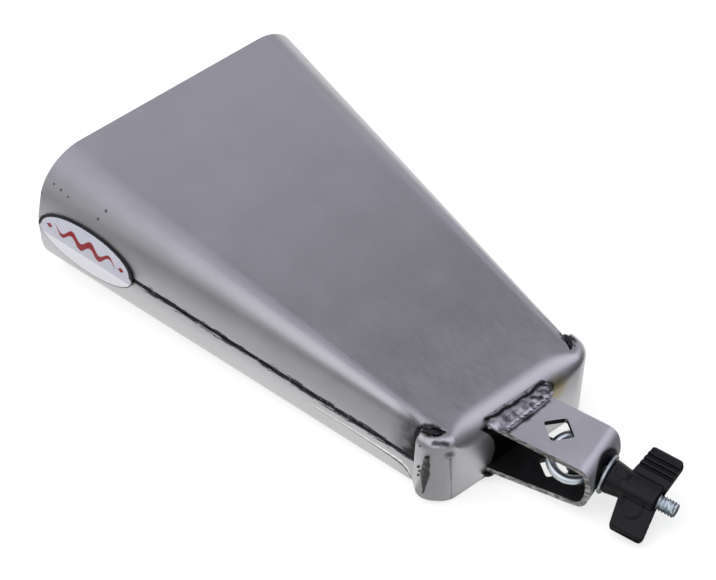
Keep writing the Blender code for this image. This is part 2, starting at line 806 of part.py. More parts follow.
def build_insert(material, parent):
    """The metal bush moulded into the wing nut, which carries the thread."""
    inner = BOLT_DIAMETER / 2 + THREAD_CLEARANCE
    outer = INSERT_DIAMETER / 2
    start = INSERT_FLANGE_SETBACK
    end = NUT_LENGTH - INSERT_FLANGE_SETBACK
    profile = ((start, inner), (end, inner), (end, outer), (start, outer))
    insert = lathe("wing_nut_insert", profile, 32, material, parent)
    insert.location = (NUT_SEAT, 0.0, 0.0)
    insert.rotation_euler = (WING_REST_ANGLE, 0.0, 0.0)
    return insert


def side_surface(u, w):
    """Near-side outer surface of the bell at length u and height w."""
    width, height, radius, lean = section_sizes(u / BELL_LENGTH)
    level = height - radius
    centre = (radius + level * sin(lean)) / cos(lean) - width
    up = abs(w)
    if up < level + radius * sin(lean):
        return Vector((u, -width + up * tan(lean), w))
    return Vector((u, centre - sqrt(max(0.0, radius**2 - (up - level) ** 2)), w))


def build_badge(material, parent):
    """The oval plate that bends over the seam at the mouth."""
    rings = 6
    around = 64
    step = 0.0002
    centre = BADGE_FROM_MOUTH + BADGE_LENGTH / 2

    def lifted(u, w):
        here = side_surface(u, w)
        along = side_surface(u + step, w) - side_surface(u - step, w)
        rise = side_surface(u, w + step) - side_surface(u, w - step)
        outward = rise.cross(along).normalized()
        if outward.y > 0:
            outward.negate()
        return here + outward * GAP

    points = [lifted(centre, 0.0)]
    faces = []
    for r in range(1, rings + 1):
        for k in range(around):
            angle = 2 * pi * k / around
            u = centre + BADGE_LENGTH / 2 * r / rings * cos(angle)
            points.append(lifted(u, BADGE_HEIGHT / 2 * r / rings * sin(angle)))
    for k in range(around):
        following = (k + 1) % around
        faces.append((0, 1 + k, 1 + following))
        for r in range(rings - 1):
            low = 1 + r * around
            high = low + around
            faces.append((low + k, high + k, high + following, low + following))
    badge = add_object("badge", points, faces, material, parent)
    face_outwards(badge)
    if badge.data.polygons[0].normal.y > 0:
        badge.data.flip_normals()
    thicken(badge, BADGE_THICKNESS, 1.0)
    return badge


def main():
    clear_scene()
    frame = bpy.data.objects.new("bell_frame", None)
    bpy.context.scene.collection.objects.link(frame)
    half = MOUTH_HEIGHT / 2
    frame.location = (half * sin(TAPER) - REST_LENGTH / 2, 0.0, half * cos(TAPER))
    frame.rotation_euler = (0.0, TAPER, 0.0)

    axis = bpy.data.objects.new("bolt_axis", None)
    bpy.context.scene.collection.objects.link(axis)
    axis.parent = frame
    axis.location = strap_point(STRAP_LENGTH, 0.0, BOLT_LEVEL)
    axis.rotation_euler = (0.0, BOLT_DROOP, STRAP_YAW)

    brushed = (0.30, 0.295, 0.32)
    weld = (0.16, 0.155, 0.16)
    zinc = (0.58, 0.64, 0.67)
    build_front_shell(steel("brushed_steel_front", brushed, 0.38, 1.0), frame)
    build_rear_shell(steel("brushed_steel_rear", brushed, 0.38, 1.0), frame)
    build_seam_weld("seam_weld_near", -1.0, steel("weld_seam_near", weld, 0.5, 1.0), frame)
    build_seam_weld("seam_weld_far", 1.0, steel("weld_seam_far", weld, 0.5, 1.0), frame)
    build_corner_weld("corner_weld_near", -1.0, steel("weld_corner_near", weld, 0.5, 1.0), frame)
    build_corner_weld("corner_weld_far", 1.0, steel("weld_corner_far", weld, 0.5, 1.0), frame)
    build_end_weld(steel("weld_end", weld, 0.45, 1.0), frame)
    build_strap(steel("brushed_steel_strap", (0.27, 0.265, 0.29), 0.36, 1.0), frame)
    build_upper_strap_weld(steel("weld_strap_upper", (0.35, 0.35, 0.37), 0.35, 1.0), frame)
    build_lower_strap_weld(steel("weld_strap_lower", (0.30, 0.30, 0.32), 0.4, 1.0), frame)
    build_eye_bolt(steel("zinc_plated_eye_bolt", zinc, 0.28, 1.0), axis)
    build_washer(steel("zinc_plated_washer", zinc, 0.25, 1.0), axis)
    build_wing_nut(steel("black_moulded_nylon", (0.012, 0.012, 0.013), 0.45, 0.0), axis)
    build_insert(steel("plated_steel_insert", (0.42, 0.42, 0.42), 0.4, 1.0), axis)
    build_badge(steel("enamelled_badge", (0.80, 0.80, 0.80), 0.3, 0.0), frame)


main()
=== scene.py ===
"""Looks of a bongo cowbell: satin steel halves, weld beads, rod clamp and oval badge."""

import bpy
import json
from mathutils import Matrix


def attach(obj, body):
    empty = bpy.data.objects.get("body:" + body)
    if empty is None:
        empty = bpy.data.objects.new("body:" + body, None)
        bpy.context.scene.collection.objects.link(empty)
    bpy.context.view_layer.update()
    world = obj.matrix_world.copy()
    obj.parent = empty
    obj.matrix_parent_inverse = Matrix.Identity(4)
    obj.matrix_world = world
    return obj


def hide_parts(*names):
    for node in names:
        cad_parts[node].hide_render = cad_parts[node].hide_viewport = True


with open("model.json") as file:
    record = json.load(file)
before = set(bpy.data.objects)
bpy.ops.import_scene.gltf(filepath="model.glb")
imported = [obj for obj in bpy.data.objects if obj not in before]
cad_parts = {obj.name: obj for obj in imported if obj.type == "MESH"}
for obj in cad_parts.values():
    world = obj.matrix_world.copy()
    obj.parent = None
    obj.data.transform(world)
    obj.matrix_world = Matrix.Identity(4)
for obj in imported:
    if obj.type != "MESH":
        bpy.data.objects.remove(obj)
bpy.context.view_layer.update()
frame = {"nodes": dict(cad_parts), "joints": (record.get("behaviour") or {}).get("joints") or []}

import json
from math import atan2, cos, hypot, pi, radians, sin

import bmesh
import bpy
from mathutils import Matrix, Vector, noise

bl_info = {
    "name": "Bongo cowbell looks",
    "version": (1, 0, 0),
    "blender": (4, 5, 0),
    "location": "View3D > Sidebar > Cowbell",
    "description": "Dresses the packed cowbell in its finished surfaces and sets a plain studio",
    "category": "Object",
}

MM = 0.001

# The bell lies on its rear face, so its own frame is tipped by the taper
BELL_LENGTH = 0.203
HALF_MOUTH = 0.0304
HALF_END = 0.0171
TAPER = atan2(HALF_MOUTH - HALF_END, BELL_LENGTH)
BELL_FRAME = Matrix.Translation(
    (HALF_MOUTH * sin(TAPER) - BELL_LENGTH / cos(TAPER) / 2, 0.0, HALF_MOUTH * cos(TAPER))
) @ Matrix.Rotation(TAPER, 4, "Y")
STRAP_YAW = radians(18.3)
STRAP_SHIFT = 0.00195
STRAP_RISE = 0.0014
STRAP_FRAME = BELL_FRAME @ Matrix.Translation((BELL_LENGTH, -STRAP_SHIFT, STRAP_RISE)) @ Matrix.Rotation(
    STRAP_YAW, 4, "Z"
)

# The bolt's axis is the wing nut's joint
NUT_JOINT = next(joint for joint in frame["joints"] if joint["name"] == "wing_nut_turn")
BOLT_ORIGIN = Vector(NUT_JOINT["pos_m"])
BOLT_DROOP = radians(6.4)
BOLT_FRAME = Matrix.Translation(BOLT_ORIGIN) @ BELL_FRAME.to_3x3().to_4x4() @ Matrix.Rotation(
    STRAP_YAW, 4, "Z"
) @ Matrix.Rotation(BOLT_DROOP, 4, "Y")
NUT_REST_ANGLE = radians(28.0)

# Where the end wall begins, along x
END_WALL = (0.0995, 0.1005)

# Pits at the mouth: place and reach in millimetres
PITS = (
    ((-68.0, -58.2, 49.9), 0.9),
    ((-69.9, -60.9, 46.0), 0.9),
    ((-89.9, -63.1, 49.3), 0.8),
    ((-85.9, -62.9, 48.2), 0.7),
    ((-93.8, -63.4, 50.1), 0.7),
    ((-98.6, -66.4, 44.3), 0.9),
)

# Middle of the straw tint and of the soot that the clamp's weld left on the wall
TINT_SPOT = (0.1033, 0.0205, 0.0255)
SMUT_SPOT = (0.1036, 0.0162, 0.0288)

# Borders of the painted soot and shade wander by this share of their reach, at this many lumps to the metre,
# and fade this fast
DARK_WANDER = 0.55
DARK_GRAIN = 420.0
DARK_FADE = 1.8

# Shares of a noise between which a pattern goes from none to all
SPAN = (0.3, 0.7)


def linear(code):
    """Linear colour of an sRGB hex value."""
    values = [int(code[i : i + 2], 16) / 255 for i in (1, 3, 5)]
    return tuple(c / 12.92 if c <= 0.04045 else ((c + 0.055) / 1.055) ** 2.4 for c in values)


def colour(name, description, code):
    return bpy.props.FloatVectorProperty(
        name=name, description=description, subtype="COLOR", size=3, min=0.0, max=1.0, default=linear(code)
    )


def length(name, description, default):
    return bpy.props.FloatProperty(
        name=name, description=description, default=default, min=0.0, unit="LENGTH", precision=5
    )


class CowbellColours(bpy.types.PropertyGroup):
    """Colours of the finishes."""

    steel: colour("Steel", "Satin sheet steel of both halves", "#bdbdbe")
    strap: colour("Strap", "Satin steel of the rod clamp's strap", "#cdcdd0")
    # Near-black of soot and pits, and of painted shade: inside the strap, on the wall between its arms, in
    # creases, cracks and dents
    scale: colour("Scale", "Black mill scale that polishing didn't reach", "#1b1b1d")
    weld_dark: colour("Weld, burnt", "Burnt skin of the weld beads", "#3a393c")
    weld_smear: colour("Weld, smeared", "Grey smears of the corner welds", "#5c5b5b")
    weld_grey: colour("Weld, grey", "Paler places of the corner welds", "#8d8d8b")
    weld_bright: colour("Weld, bright", "Bare ripples of the weld beads", "#bcbbc0")
    straw: colour("Heat tint", "Straw-coloured tint beside the clamp's weld", "#b3a67c")
    zinc: colour("Zinc", "Bright zinc plate of the eye bolt and washer", "#e4eff1")
    nylon: colour("Nylon", "Black moulded wing nut", "#0c0b0e")
    enamel: colour("Enamel", "White ground of the badge", "#dcdfe6")
    border: colour("Border", "Black rim of the badge", "#15171c")
    ornament: colour("Ornament", "Red ornament of the badge", "#9c2429")
    floor: colour("Floor", "Pale paper under the bell", "#a8a8a7")


class CowbellSizes(bpy.types.PropertyGroup):
    """Sizes of the surface details."""

    rim_round: length("Rim rounding", "Rounding of the sheared sheet edges", 0.25 * MM)
    strap_round: length("Strap rounding", "Rounding of the strap's edges", 0.4 * MM)
    thread_pitch: length("Thread pitch", "Pitch of the quarter-inch coarse thread", 1.27 * MM)
    thread_depth: length("Thread depth", "Depth of the thread", 0.62 * MM)
    weld_lump: length("Weld lumps", "Height of the lumps on the weld beads", 0.35 * MM)
    dent_depth: length("Dent depth", "Depth of the hammer marks by the near ear", 0.9 * MM)
    nut_voxel: length("Nut fineness", "Mesh size of the moulded wing nut", 0.22 * MM)


class CowbellStudio(bpy.types.PropertyGroup):
    """Light of the studio."""

    sky: bpy.props.FloatProperty(
        name="Walls", description="Strength of the soft walls", default=1.0, min=0.0
    )
    top: bpy.props.FloatProperty(
        name="Top", description="Power of the soft light overhead", default=12.0, min=0.0, unit="POWER"
    )
    key: bpy.props.FloatProperty(
        name="Key", description="Power of the soft light in front", default=1.55, min=0.0, unit="POWER"
    )


def colours():
    return bpy.context.scene.cowbell_colours


def sizes():
    return bpy.context.scene.cowbell_sizes


def only(*objects):
    """Leaves just these objects selected, the first one active."""
    if bpy.context.object and bpy.context.object.mode != "OBJECT":
        bpy.ops.object.mode_set(mode="OBJECT")
    bpy.ops.object.select_all(action="DESELECT")
    for obj in objects:
        obj.select_set(True)
    bpy.context.view_layer.objects.active = objects[0]


def added(operator, name, **values):
    """The object that an operator adds, under this name."""
    bpy.ops.object.select_all(action="DESELECT")
    operator(**values)
    bpy.context.object.name = name
    return bpy.context.object


def merged_copy(node, name):
    """A copy of a CAD node with its loose triangles merged, as the start of a finished piece."""
    obj = bpy.data.objects.new(name, frame["nodes"][node].data.copy())
    obj.data.name = name
    bpy.context.scene.collection.objects.link(obj)
    only(obj)
    obj.data.materials.clear()
    if obj.data.has_custom_normals:
        bpy.ops.mesh.customdata_custom_splitnormals_clear()
    bpy.ops.object.mode_set(mode="EDIT")
    bpy.ops.mesh.select_all(action="SELECT")
    bpy.ops.mesh.remove_doubles(threshold=1e-6)
    bpy.ops.mesh.dissolve_limited(angle_limit=radians(0.4))
    bpy.ops.object.mode_set(mode="OBJECT")
    return obj


def select(obj, kind, wanted):
    """Selects just the wanted edges or faces, in edit mode."""
    only(obj)
    bpy.ops.object.mode_set(mode="EDIT")
    bpy.ops.mesh.select_mode(type=kind)
    bpy.ops.mesh.select_all(action="DESELECT")
    work = bmesh.from_edit_mesh(obj.data)
    for item in work.edges if kind == "EDGE" else work.faces:
        item.select = wanted(item)
    work.select_flush_mode()
    bmesh.update_edit_mesh(obj.data)


def round_edges(obj, width, angle=50, segments=2, above=-1.0):
    """Rounds every edge above a height where the surface turns by more than the angle."""
    limit = radians(angle)

    def sharp(edge):
        clear = min(vertex.co.z for vertex in edge.verts) > above
        return clear and len(edge.link_faces) == 2 and edge.calc_face_angle(0.0) > limit

    select(obj, "EDGE", sharp)
    bpy.ops.mesh.bevel(offset=width, segments=segments, affect="EDGES", clamp_overlap=True)
    bpy.ops.object.mode_set(mode="OBJECT")


def cut_grid(obj, low, high, step):
    """Cuts the faces of a box-shaped patch into a fine grid, so that it can be dented and darkened with soot
    and painted shade.
    """
    bounds = ((0, low), (0, high), (1, low), (1, high), (2, low), (2, high))
    planes = [(axis, corner[axis]) for axis, corner in bounds]
    for axis in range(3):
        count = int((high[axis] - low[axis]) / step)
        planes += [(axis, low[axis] + (high[axis] - low[axis]) * (k + 0.5) / count) for k in range(count)]

    def near(face):
        return all(
            min(v.co[axis] for v in face.verts) < high[axis] - 1e-6
            and max(v.co[axis] for v in face.verts) > low[axis] + 1e-6
            for axis in range(3)
        )

    for axis, at in planes:
        select(obj, "FACE", near)
        facing = Vector([float(k == axis) for k in range(3)])
        bpy.ops.mesh.bisect(plane_co=facing * at, plane_no=facing)
    bpy.ops.object.mode_set(mode="OBJECT")


def melt(obj, voxel, rounds):
    """Turns a faceted piece into one even skin with soft edges, as if poured."""
    skin = obj.modifiers.new("skin", "REMESH")
    skin.mode = "VOXEL"
    skin.voxel_size = voxel
    soft = obj.modifiers.new("soft", "SMOOTH")
    soft.factor = 0.5
    soft.iterations = rounds
    only(obj)
    bpy.ops.object.modifier_apply(modifier="skin")
    bpy.ops.object.modifier_apply(modifier="soft")


def near_path(point, path):
    """Shortest distance from a point to a path through points in millimetres."""
    best = 1.0
    for first, last in zip(path, path[1:]):
        start = Vector(first) * MM
        leg = Vector(last) * MM - start
        share = min(1.0, max(0.0, (point - start).dot(leg) / leg.length_squared))
        best = min(best, (point - start - leg * share).length)
    return best


def paint_dark(obj, marks):
    """Paints darkness along paths, each with its reach in millimetres and its darkness: soot in places, and
    painted shade in dents, cracks, creases and under the lap edge.
    """
    layer = obj.data.attributes.new("soot", "FLOAT", "POINT")
    for vertex in obj.data.vertices:
        wander = 1.0 + DARK_WANDER * noise.noise(vertex.co * DARK_GRAIN)
        levels = [0.0]
        for path, reach, dark in marks:
            away = near_path(vertex.co, path) / (reach * MM * wander)
            levels.append(dark * min(1.0, max(0.0, DARK_FADE - DARK_FADE * away)))
        layer.data[vertex.index].value = max(levels)


def mirrored(path):
    return [(x, -y, z) for x, y, z in path]


def displace(obj, move):
    """Moves every vertex by move(vertex), all of them worked out before the first one moves."""
    moves = [move(vertex) for vertex in obj.data.vertices]
    for vertex, step in zip(obj.data.vertices, moves):
        vertex.co += step
    obj.data.update()


def roughen(obj, grain, height, seed):
    """Lumps of this grain and height along the surface's normals."""
    offset = Vector((seed * 7.3, seed * 3.1, seed * 5.7))

    def lump(vertex):
        coarse = noise.noise(vertex.co / grain + offset)
        fine = noise.noise(vertex.co * 2.7 / grain + offset)
        return vertex.normal * (height * (coarse + 0.35 * fine))

    displace(obj, lump)


def bead(name, steps, around, place):
    """A closed round bar whose points place(share along it, across, up) sets."""
    bar = {"vertices": around, "radius": 1.0, "depth": 1.0, "end_fill_type": "TRIFAN"}
    obj = added(bpy.ops.mesh.primitive_cylinder_add, name, **bar)
    obj.data.name = name
    select(obj, "EDGE", lambda edge: abs(edge.verts[0].co.z - edge.verts[1].co.z) > 0.5)
    bpy.ops.mesh.subdivide(number_cuts=steps - 1)
    bpy.ops.object.mode_set(mode="OBJECT")
    for vertex in obj.data.vertices:
        across, up, along = vertex.co
        vertex.co = place(along + 0.5, across, up)
    bpy.ops.object.mode_set(mode="EDIT")
    bpy.ops.mesh.select_all(action="SELECT")
    bpy.ops.mesh.normals_make_consistent(inside=False)
    bpy.ops.object.mode_set(mode="OBJECT")
    return obj


def hand_over(obj, body, nodes, slot, *finishes, angle=40, even=False):
    """Gives a finished piece its materials, shading and body, and hides the CAD nodes it replaces; the slot
    is not used.
    """
    for name in finishes:
        obj.data.materials.append(finish(name))
    only(obj)
    bpy.ops.object.shade_smooth_by_angle(angle=radians(angle))
    if even:
        flat = obj.modifiers.new("even", "WEIGHTED_NORMAL")
        flat.keep_sharp = True
        bpy.ops.object.modifier_apply(modifier="even")
    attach(obj, body)
    if nodes:
        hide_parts(*nodes)


# Kinds of shader node, each with its settings
SMOOTH = ("ShaderNodeMapRange", {"interpolation_type": "SMOOTHSTEP"})
LINEAR = ("ShaderNodeMapRange", {"interpolation_type": "LINEAR"})
BLEND = ("ShaderNodeMix", {"data_type": "RGBA"})
SHADE = ("ShaderNodeMix", {"data_type": "RGBA", "blend_type": "MULTIPLY"})
PLUS = ("ShaderNodeMath", {"operation": "ADD"})
MINUS = ("ShaderNodeMath", {"operation": "SUBTRACT"})
TIMES = ("ShaderNodeMath", {"operation": "MULTIPLY"})
OVER = ("ShaderNodeMath", {"operation": "DIVIDE"})
LARGER = ("ShaderNodeMath", {"operation": "MAXIMUM"})
SIZE = ("ShaderNodeMath", {"operation": "ABSOLUTE"})
POWER = ("ShaderNodeMath", {"operation": "POWER"})
SINE = ("ShaderNodeMath", {"operation": "SINE"})
DISTANCE = ("ShaderNodeVectorMath", {"operation": "DISTANCE"})
DOT = ("ShaderNodeVectorMath", {"operation": "DOT_PRODUCT"})
LENGTH = ("ShaderNodeVectorMath", {"operation": "LENGTH"})
NOISE = ("ShaderNodeTexNoise", {})
STRETCH = ("ShaderNodeMapping", {})
AXES = ("ShaderNodeSeparateXYZ", {})
PLACE = ("ShaderNodeTexCoord", {})
SOOT_AND_SHADE = ("ShaderNodeAttribute", {"attribute_name": "soot"})
BADGE_MAP = ("ShaderNodeUVMap", {"uv_map": "badge"})
BUMP = ("ShaderNodeBump", {})
RAMP = ("ShaderNodeValToRGB", {})
RAY = ("ShaderNodeLightPath", {})
SKY = ("ShaderNodeBackground", {})
WORLD = ("ShaderNodeOutputWorld", {})


def fill(tree, made, *values, **named):
    """Sets a node's live inputs, in order or by name, to values or links."""
    live = [socket for socket in made.inputs if socket.enabled]
    wanted = list(zip(live, values))
    wanted += [(made.inputs[key.replace("_", " ")], value) for key, value in named.items()]
    for socket, value in wanted:
        if isinstance(value, bpy.types.NodeSocket):
            tree.links.new(value, socket)
        else:
            socket.default_value = value


def add(tree, recipe, *values, **named):
    """Adds a node of a kind with its settings, fills its inputs and gives its first live output."""
    kind, settings = recipe
    made = tree.nodes.new(kind)
    for key, value in settings.items():
        setattr(made, key, value)
    fill(tree, made, *values, **named)
    return next((socket for socket in made.outputs if socket.enabled), None)


def per(size):
    """Scale of a pattern whose marks are this many millimetres across."""
    return 1.0 / (size * MM)


def rgba(value, share=1.0):
    """A colour for a socket, dimmed to a share."""
    return (*(c * share for c in value), 1.0)


def new_material(name):
    """An empty material with its tree, its shader and its Object coordinates."""
    made = bpy.data.materials.new(name)
    made.use_nodes = True
    tree = made.node_tree
    shader = tree.nodes["Principled BSDF"]
    return made, tree, shader, add(tree, PLACE).node.outputs["Object"]


def darkened(tree, base):
    """A colour that soot and painted shade darken where they were painted on the mesh."""
    return add(tree, BLEND, add(tree, SOOT_AND_SHADE).node.outputs["Fac"], base, rgba(colours().scale))


def mottled(tree, shader, cloud, first, last, rough, span=SPAN):
    """Lets the roughness wander with a noise, and gives a colour that does so too."""
    fill(tree, shader, Roughness=add(tree, SMOOTH, cloud, *SPAN, *rough))
    return add(tree, BLEND, add(tree, SMOOTH, cloud, *span), first, last)


def satin_steel(name, base, grain, dull):
    """Cold-rolled sheet, belt-polished to a satin: soft wide highlights, faint lengthwise grain."""
    made, tree, shader, place = new_material(name)

    # Real polishing lines are finer than a pixel, so they are drawn two thirds of a millimetre wide or more
    long, thin = grain
    lines = add(tree, STRETCH, place, Scale=(per(long), per(thin), per(thin)))
    lines = add(tree, NOISE, lines, Scale=1.0, Detail=4.0)
    cloud = add(tree, NOISE, place, Scale=per(22.2), Detail=5.0)
    tone = add(tree, SMOOTH, cloud, *SPAN, -0.035, 0.035)
    tone = add(tree, PLUS, tone, add(tree, SMOOTH, lines, *SPAN, -0.02, 0.02))
    base = add(tree, SHADE, 1.0, rgba(base), add(tree, PLUS, tone, 1.0))
    rough = add(tree, SMOOTH, cloud, *SPAN, dull - 0.02, dull + 0.02)
    rough = add(tree, PLUS, rough, add(tree, SMOOTH, lines, *SPAN, -0.03, 0.03))
    bump = add(tree, BUMP, Strength=0.25, Distance=0.03 * MM, Height=lines)
    fill(tree, shader, Metallic=1.0, Roughness=rough, Normal=bump)
    return made, tree, shader, place, base


def mouth_pits(tree, place):
    """Pits about a millimetre across, on the near side at the mouth."""
    pits = 0.0
    for spot, wide in PITS:
        away = add(tree, DISTANCE, place, Vector(spot) * MM)
        pits = add(tree, LARGER, add(tree, SMOOTH, away, wide * 0.4 * MM, wide * MM, 0.75, 0.0), pits)
    return pits


def painted_shade_between_arms(tree, x, y, z):
    """Painted shade: the wall between the strap's arms is darkened nearly to black, where shade falls inside
    the U.
    """
    middle = 14.57 * MM
    bow = 32.0
    across = add(tree, SIZE, add(tree, PLUS, y, STRAP_SHIFT))
    level = add(tree, POWER, add(tree, MINUS, z, middle), 2.0)
    edge = add(tree, MINUS, across, add(tree, TIMES, level, bow))
    arm_shade = add(tree, SMOOTH, edge, 9.2 * MM, 9.8 * MM, 1.0, 0.0)
    arm_shade = add(tree, TIMES, arm_shade, add(tree, SMOOTH, x, *END_WALL))
    return add(tree, TIMES, arm_shade, add(tree, SMOOTH, z, 29.0 * MM, 31.2 * MM, 1.0, 0.0))


def seam_darkening(tree, place, x, y, puffs):
    """Darker on both sides of the seam and on the side in front of each ear."""
    up = BELL_FRAME.to_3x3() @ Vector((0.0, 0.0, 1.0))
    above = add(tree, MINUS, add(tree, DOT, place, up), BELL_FRAME.translation.dot(up))
    outside = add(tree, SMOOTH, add(tree, SIZE, y), 35.0 * MM, 37.0 * MM)
    outside = add(tree, TIMES, outside, add(tree, SMOOTH, x, 89.0 * MM, 89.5 * MM, 1.0, 0.0))

    # A line along the seam that strays further below it than above
    streaks = add(tree, STRETCH, place, Scale=(per(7.69), per(2.5), per(1.43)))
    wisps = add(tree, NOISE, streaks, Scale=1.0, Detail=5.0, Roughness=0.65)
    furthest = add(tree, SMOOTH, above, -0.3 * MM, 0.3 * MM, 3.0 * MM, 1.2 * MM)
    stray = add(tree, TIMES, add(tree, SMOOTH, wisps, 0.40, 0.70), furthest)
    line = add(tree, MINUS, add(tree, SIZE, above), stray)
    line = add(tree, SMOOTH, line, 0.7 * MM, 1.3 * MM, 0.9, 0.0)

    # A cloud in front of each ear
    cloud = add(tree, SMOOTH, x, 74.0 * MM, 88.5 * MM)
    cloud = add(tree, TIMES, cloud, add(tree, SMOOTH, above, -2.5 * MM, 1.0 * MM, 0.15, 1.0))
    cloud = add(tree, TIMES, cloud, add(tree, SMOOTH, puffs, *SPAN, 0.65, 0.95))

    # A darker wedge in it that rises towards the ear
    wedge = add(tree, MINUS, above, add(tree, LINEAR, x, 70.0 * MM, 89.0 * MM, 0.0, 6.5 * MM))
    wedge = add(tree, SMOOTH, wedge, -2.5 * MM, 2.5 * MM, 0.95, 0.0)
    wedge = add(tree, TIMES, wedge, add(tree, SMOOTH, x, 74.0 * MM, 86.0 * MM))
    wedge = add(tree, TIMES, wedge, add(tree, SMOOTH, puffs, 0.3, 0.6, 0.7, 1.0))
    wedge = add(tree, TIMES, wedge, add(tree, SMOOTH, above, -1.2 * MM, -0.2 * MM))
    return add(tree, TIMES, add(tree, LARGER, line, add(tree, LARGER, cloud, wedge)), outside)


def wall_run(tree, x, y, z, puffs):
    """A thin dark run down the wall below the dent."""
    lean = 0.092
    side = 32.3 * MM
    away = add(tree, PLUS, add(tree, TIMES, z, lean), y)
    away = add(tree, SIZE, add(tree, PLUS, away, side))
    wide = add(tree, SMOOTH, z, 8.0 * MM, 26.0 * MM, 0.3 * MM, 0.8 * MM)
    run = add(tree, SMOOTH, add(tree, OVER, away, wide), 0.3, 1.0, 0.6, 0.0)
    run = add(tree, TIMES, run, add(tree, SMOOTH, puffs, 0.35, 0.6, 0.55, 1.0))
    run = add(tree, TIMES, run, add(tree, SMOOTH, x, *END_WALL))
    return add(tree, TIMES, run, add(tree, SMOOTH, z, 25.5 * MM, 26.5 * MM, 1.0, 0.0))


def shell_steel(name):
    """Satin steel of both halves, with pits, straw tint, soot round the clamp's weld, darker marks along the
    seam and down the wall, and painted shade in the dents, along the cracks and on the wall between the
    strap's arms.
    """
    palette = colours()
    made, tree, shader, place, base = satin_steel(name, palette.steel, (16.7, 0.667), 0.38)
    x, y, z = add(tree, AXES, place).node.outputs
    puffs = add(tree, NOISE, place, Scale=per(3.85), Detail=3.0)

    # Straw tint where the clamp's weld heated the wall, and soot round the weld's end
    tint = add(tree, SMOOTH, add(tree, DISTANCE, place, TINT_SPOT), 2.0 * MM, 7.5 * MM, 0.85, 0.0)
    smut = add(tree, SMOOTH, add(tree, DISTANCE, place, SMUT_SPOT), 2.6 * MM, 3.9 * MM, 0.92, 0.0)
    smut = add(tree, TIMES, smut, add(tree, SMOOTH, puffs, 0.3, 0.6, 0.7, 1.0))

    # Soot and painted shade from the mesh, then the other dark marks
    dark = add(tree, SOOT_AND_SHADE).node.outputs["Fac"]
    for mark in (
        mouth_pits(tree, place),
        # Painted shade on the wall between the strap's arms
        painted_shade_between_arms(tree, x, y, z),
        seam_darkening(tree, place, x, y, puffs),
        wall_run(tree, x, y, z, puffs),
        smut,
    ):
        dark = add(tree, LARGER, dark, mark)
    base = add(tree, BLEND, tint, base, rgba(palette.straw))
    fill(tree, shader, Base_Color=add(tree, BLEND, dark, base, rgba(palette.scale)))
    return made


def strap_steel(name):
    """Satin steel of the strap, duller than the bell, with painted shade beside its weld and black round the
    washer.
    """
    made, tree, shader, place, base = satin_steel(name, colours().strap, (8.33, 0.833), 0.48)
    black_round_washer = add(tree, SMOOTH, add(tree, DISTANCE, place, BOLT_ORIGIN), 9.2 * MM, 10.8 * MM, 0.93, 0.0)
    base = add(tree, BLEND, black_round_washer, darkened(tree, base), rgba(colours().scale))
    fill(tree, shader, Base_Color=base)
    return made


def lap_light_and_shadow(name):
    """Painted highlight and shadow of the lap edge: a thin pale line that stands in for its face catching the
    floor's light, with painted shadow under it.
    """
    made, tree, shader, place = new_material(name)
    cloud = add(tree, NOISE, place, Scale=per(2.38), Detail=3.0)
    base = mottled(tree, shader, cloud, rgba(linear("#d8d8d6")), rgba(linear("#f4f4f2")), (0.30, 0.42))
    fill(tree, shader, Base_Color=darkened(tree, base), Metallic=1.0)
    return made


def sheared_edge(name):
    """Edge of the strap as the shear left it: torn, mottled grey and brown-grey, half dull."""
    made, tree, shader, place = new_material(name)
    tears = add(tree, STRETCH, place, Scale=(per(2.86), per(2.86), per(1.11)))
    tears = add(tree, NOISE, tears, Scale=1.0, Detail=4.0)
    first, last = rgba(linear("#5f5c59")), rgba(linear("#b0aeab"))
    base = mottled(tree, shader, tears, first, last, (0.50, 0.38), (0.35, 0.7))
    fill(tree, shader, Base_Color=base, Metallic=1.0)
    return made


def inner_shade(name):
    """Painted shade inside the strap's U and on its holes' walls: nearly black, dull, faintly mottled."""
    made, tree, shader, place = new_material(name)
    cloud = add(tree, NOISE, place, Scale=per(3.33), Detail=4.0)
    dark = colours().scale
    base = mottled(tree, shader, cloud, rgba(dark, 0.5), rgba(dark), (0.5, 0.65), (0.35, 0.75))
    fill(tree, shader, Base_Color=base, Metallic=0.4)
    return made


def weld_metal(name, dark, light, bright, grain):
    """Weld bead as it cooled: dark burnt skin broken by bare bright ripples and droplets."""
    made, tree, shader, place = new_material(name)
    palette = colours()
    cloud = add(tree, NOISE, place, Scale=per(grain), Detail=3.0)
    bare = add(tree, SMOOTH, cloud, 0.54 - bright, 0.74 - bright)
    base = add(tree, BLEND, bare, rgba(getattr(palette, dark)), rgba(getattr(palette, light)))
    rough = add(tree, SMOOTH, bare, 0.0, 1.0, 0.5, 0.32)
    ripple = add(tree, NOISE, place, Scale=per(0.667), Detail=2.0)
    bump = add(tree, BUMP, Strength=0.2, Distance=0.1 * MM, Height=ripple)
    fill(tree, shader, Base_Color=darkened(tree, base), Metallic=1.0, Roughness=rough, Normal=bump)
    return made


def zinc_plate(name, share):
    """Blue-passivated zinc on rolled steel: cool, shiny, slightly cloudy, dimmed as a whole to a share of its
    brightness.
    """
    made, tree, shader, place = new_material(name)
    cloud = add(tree, NOISE, place, Scale=per(2.63), Detail=4.0)
    zinc = colours().zinc
    base = mottled(tree, shader, cloud, rgba(zinc, 0.86 * share), rgba(zinc, share), (0.30, 0.38))
    fill(tree, shader, Base_Color=base, Metallic=1.0)
    return made


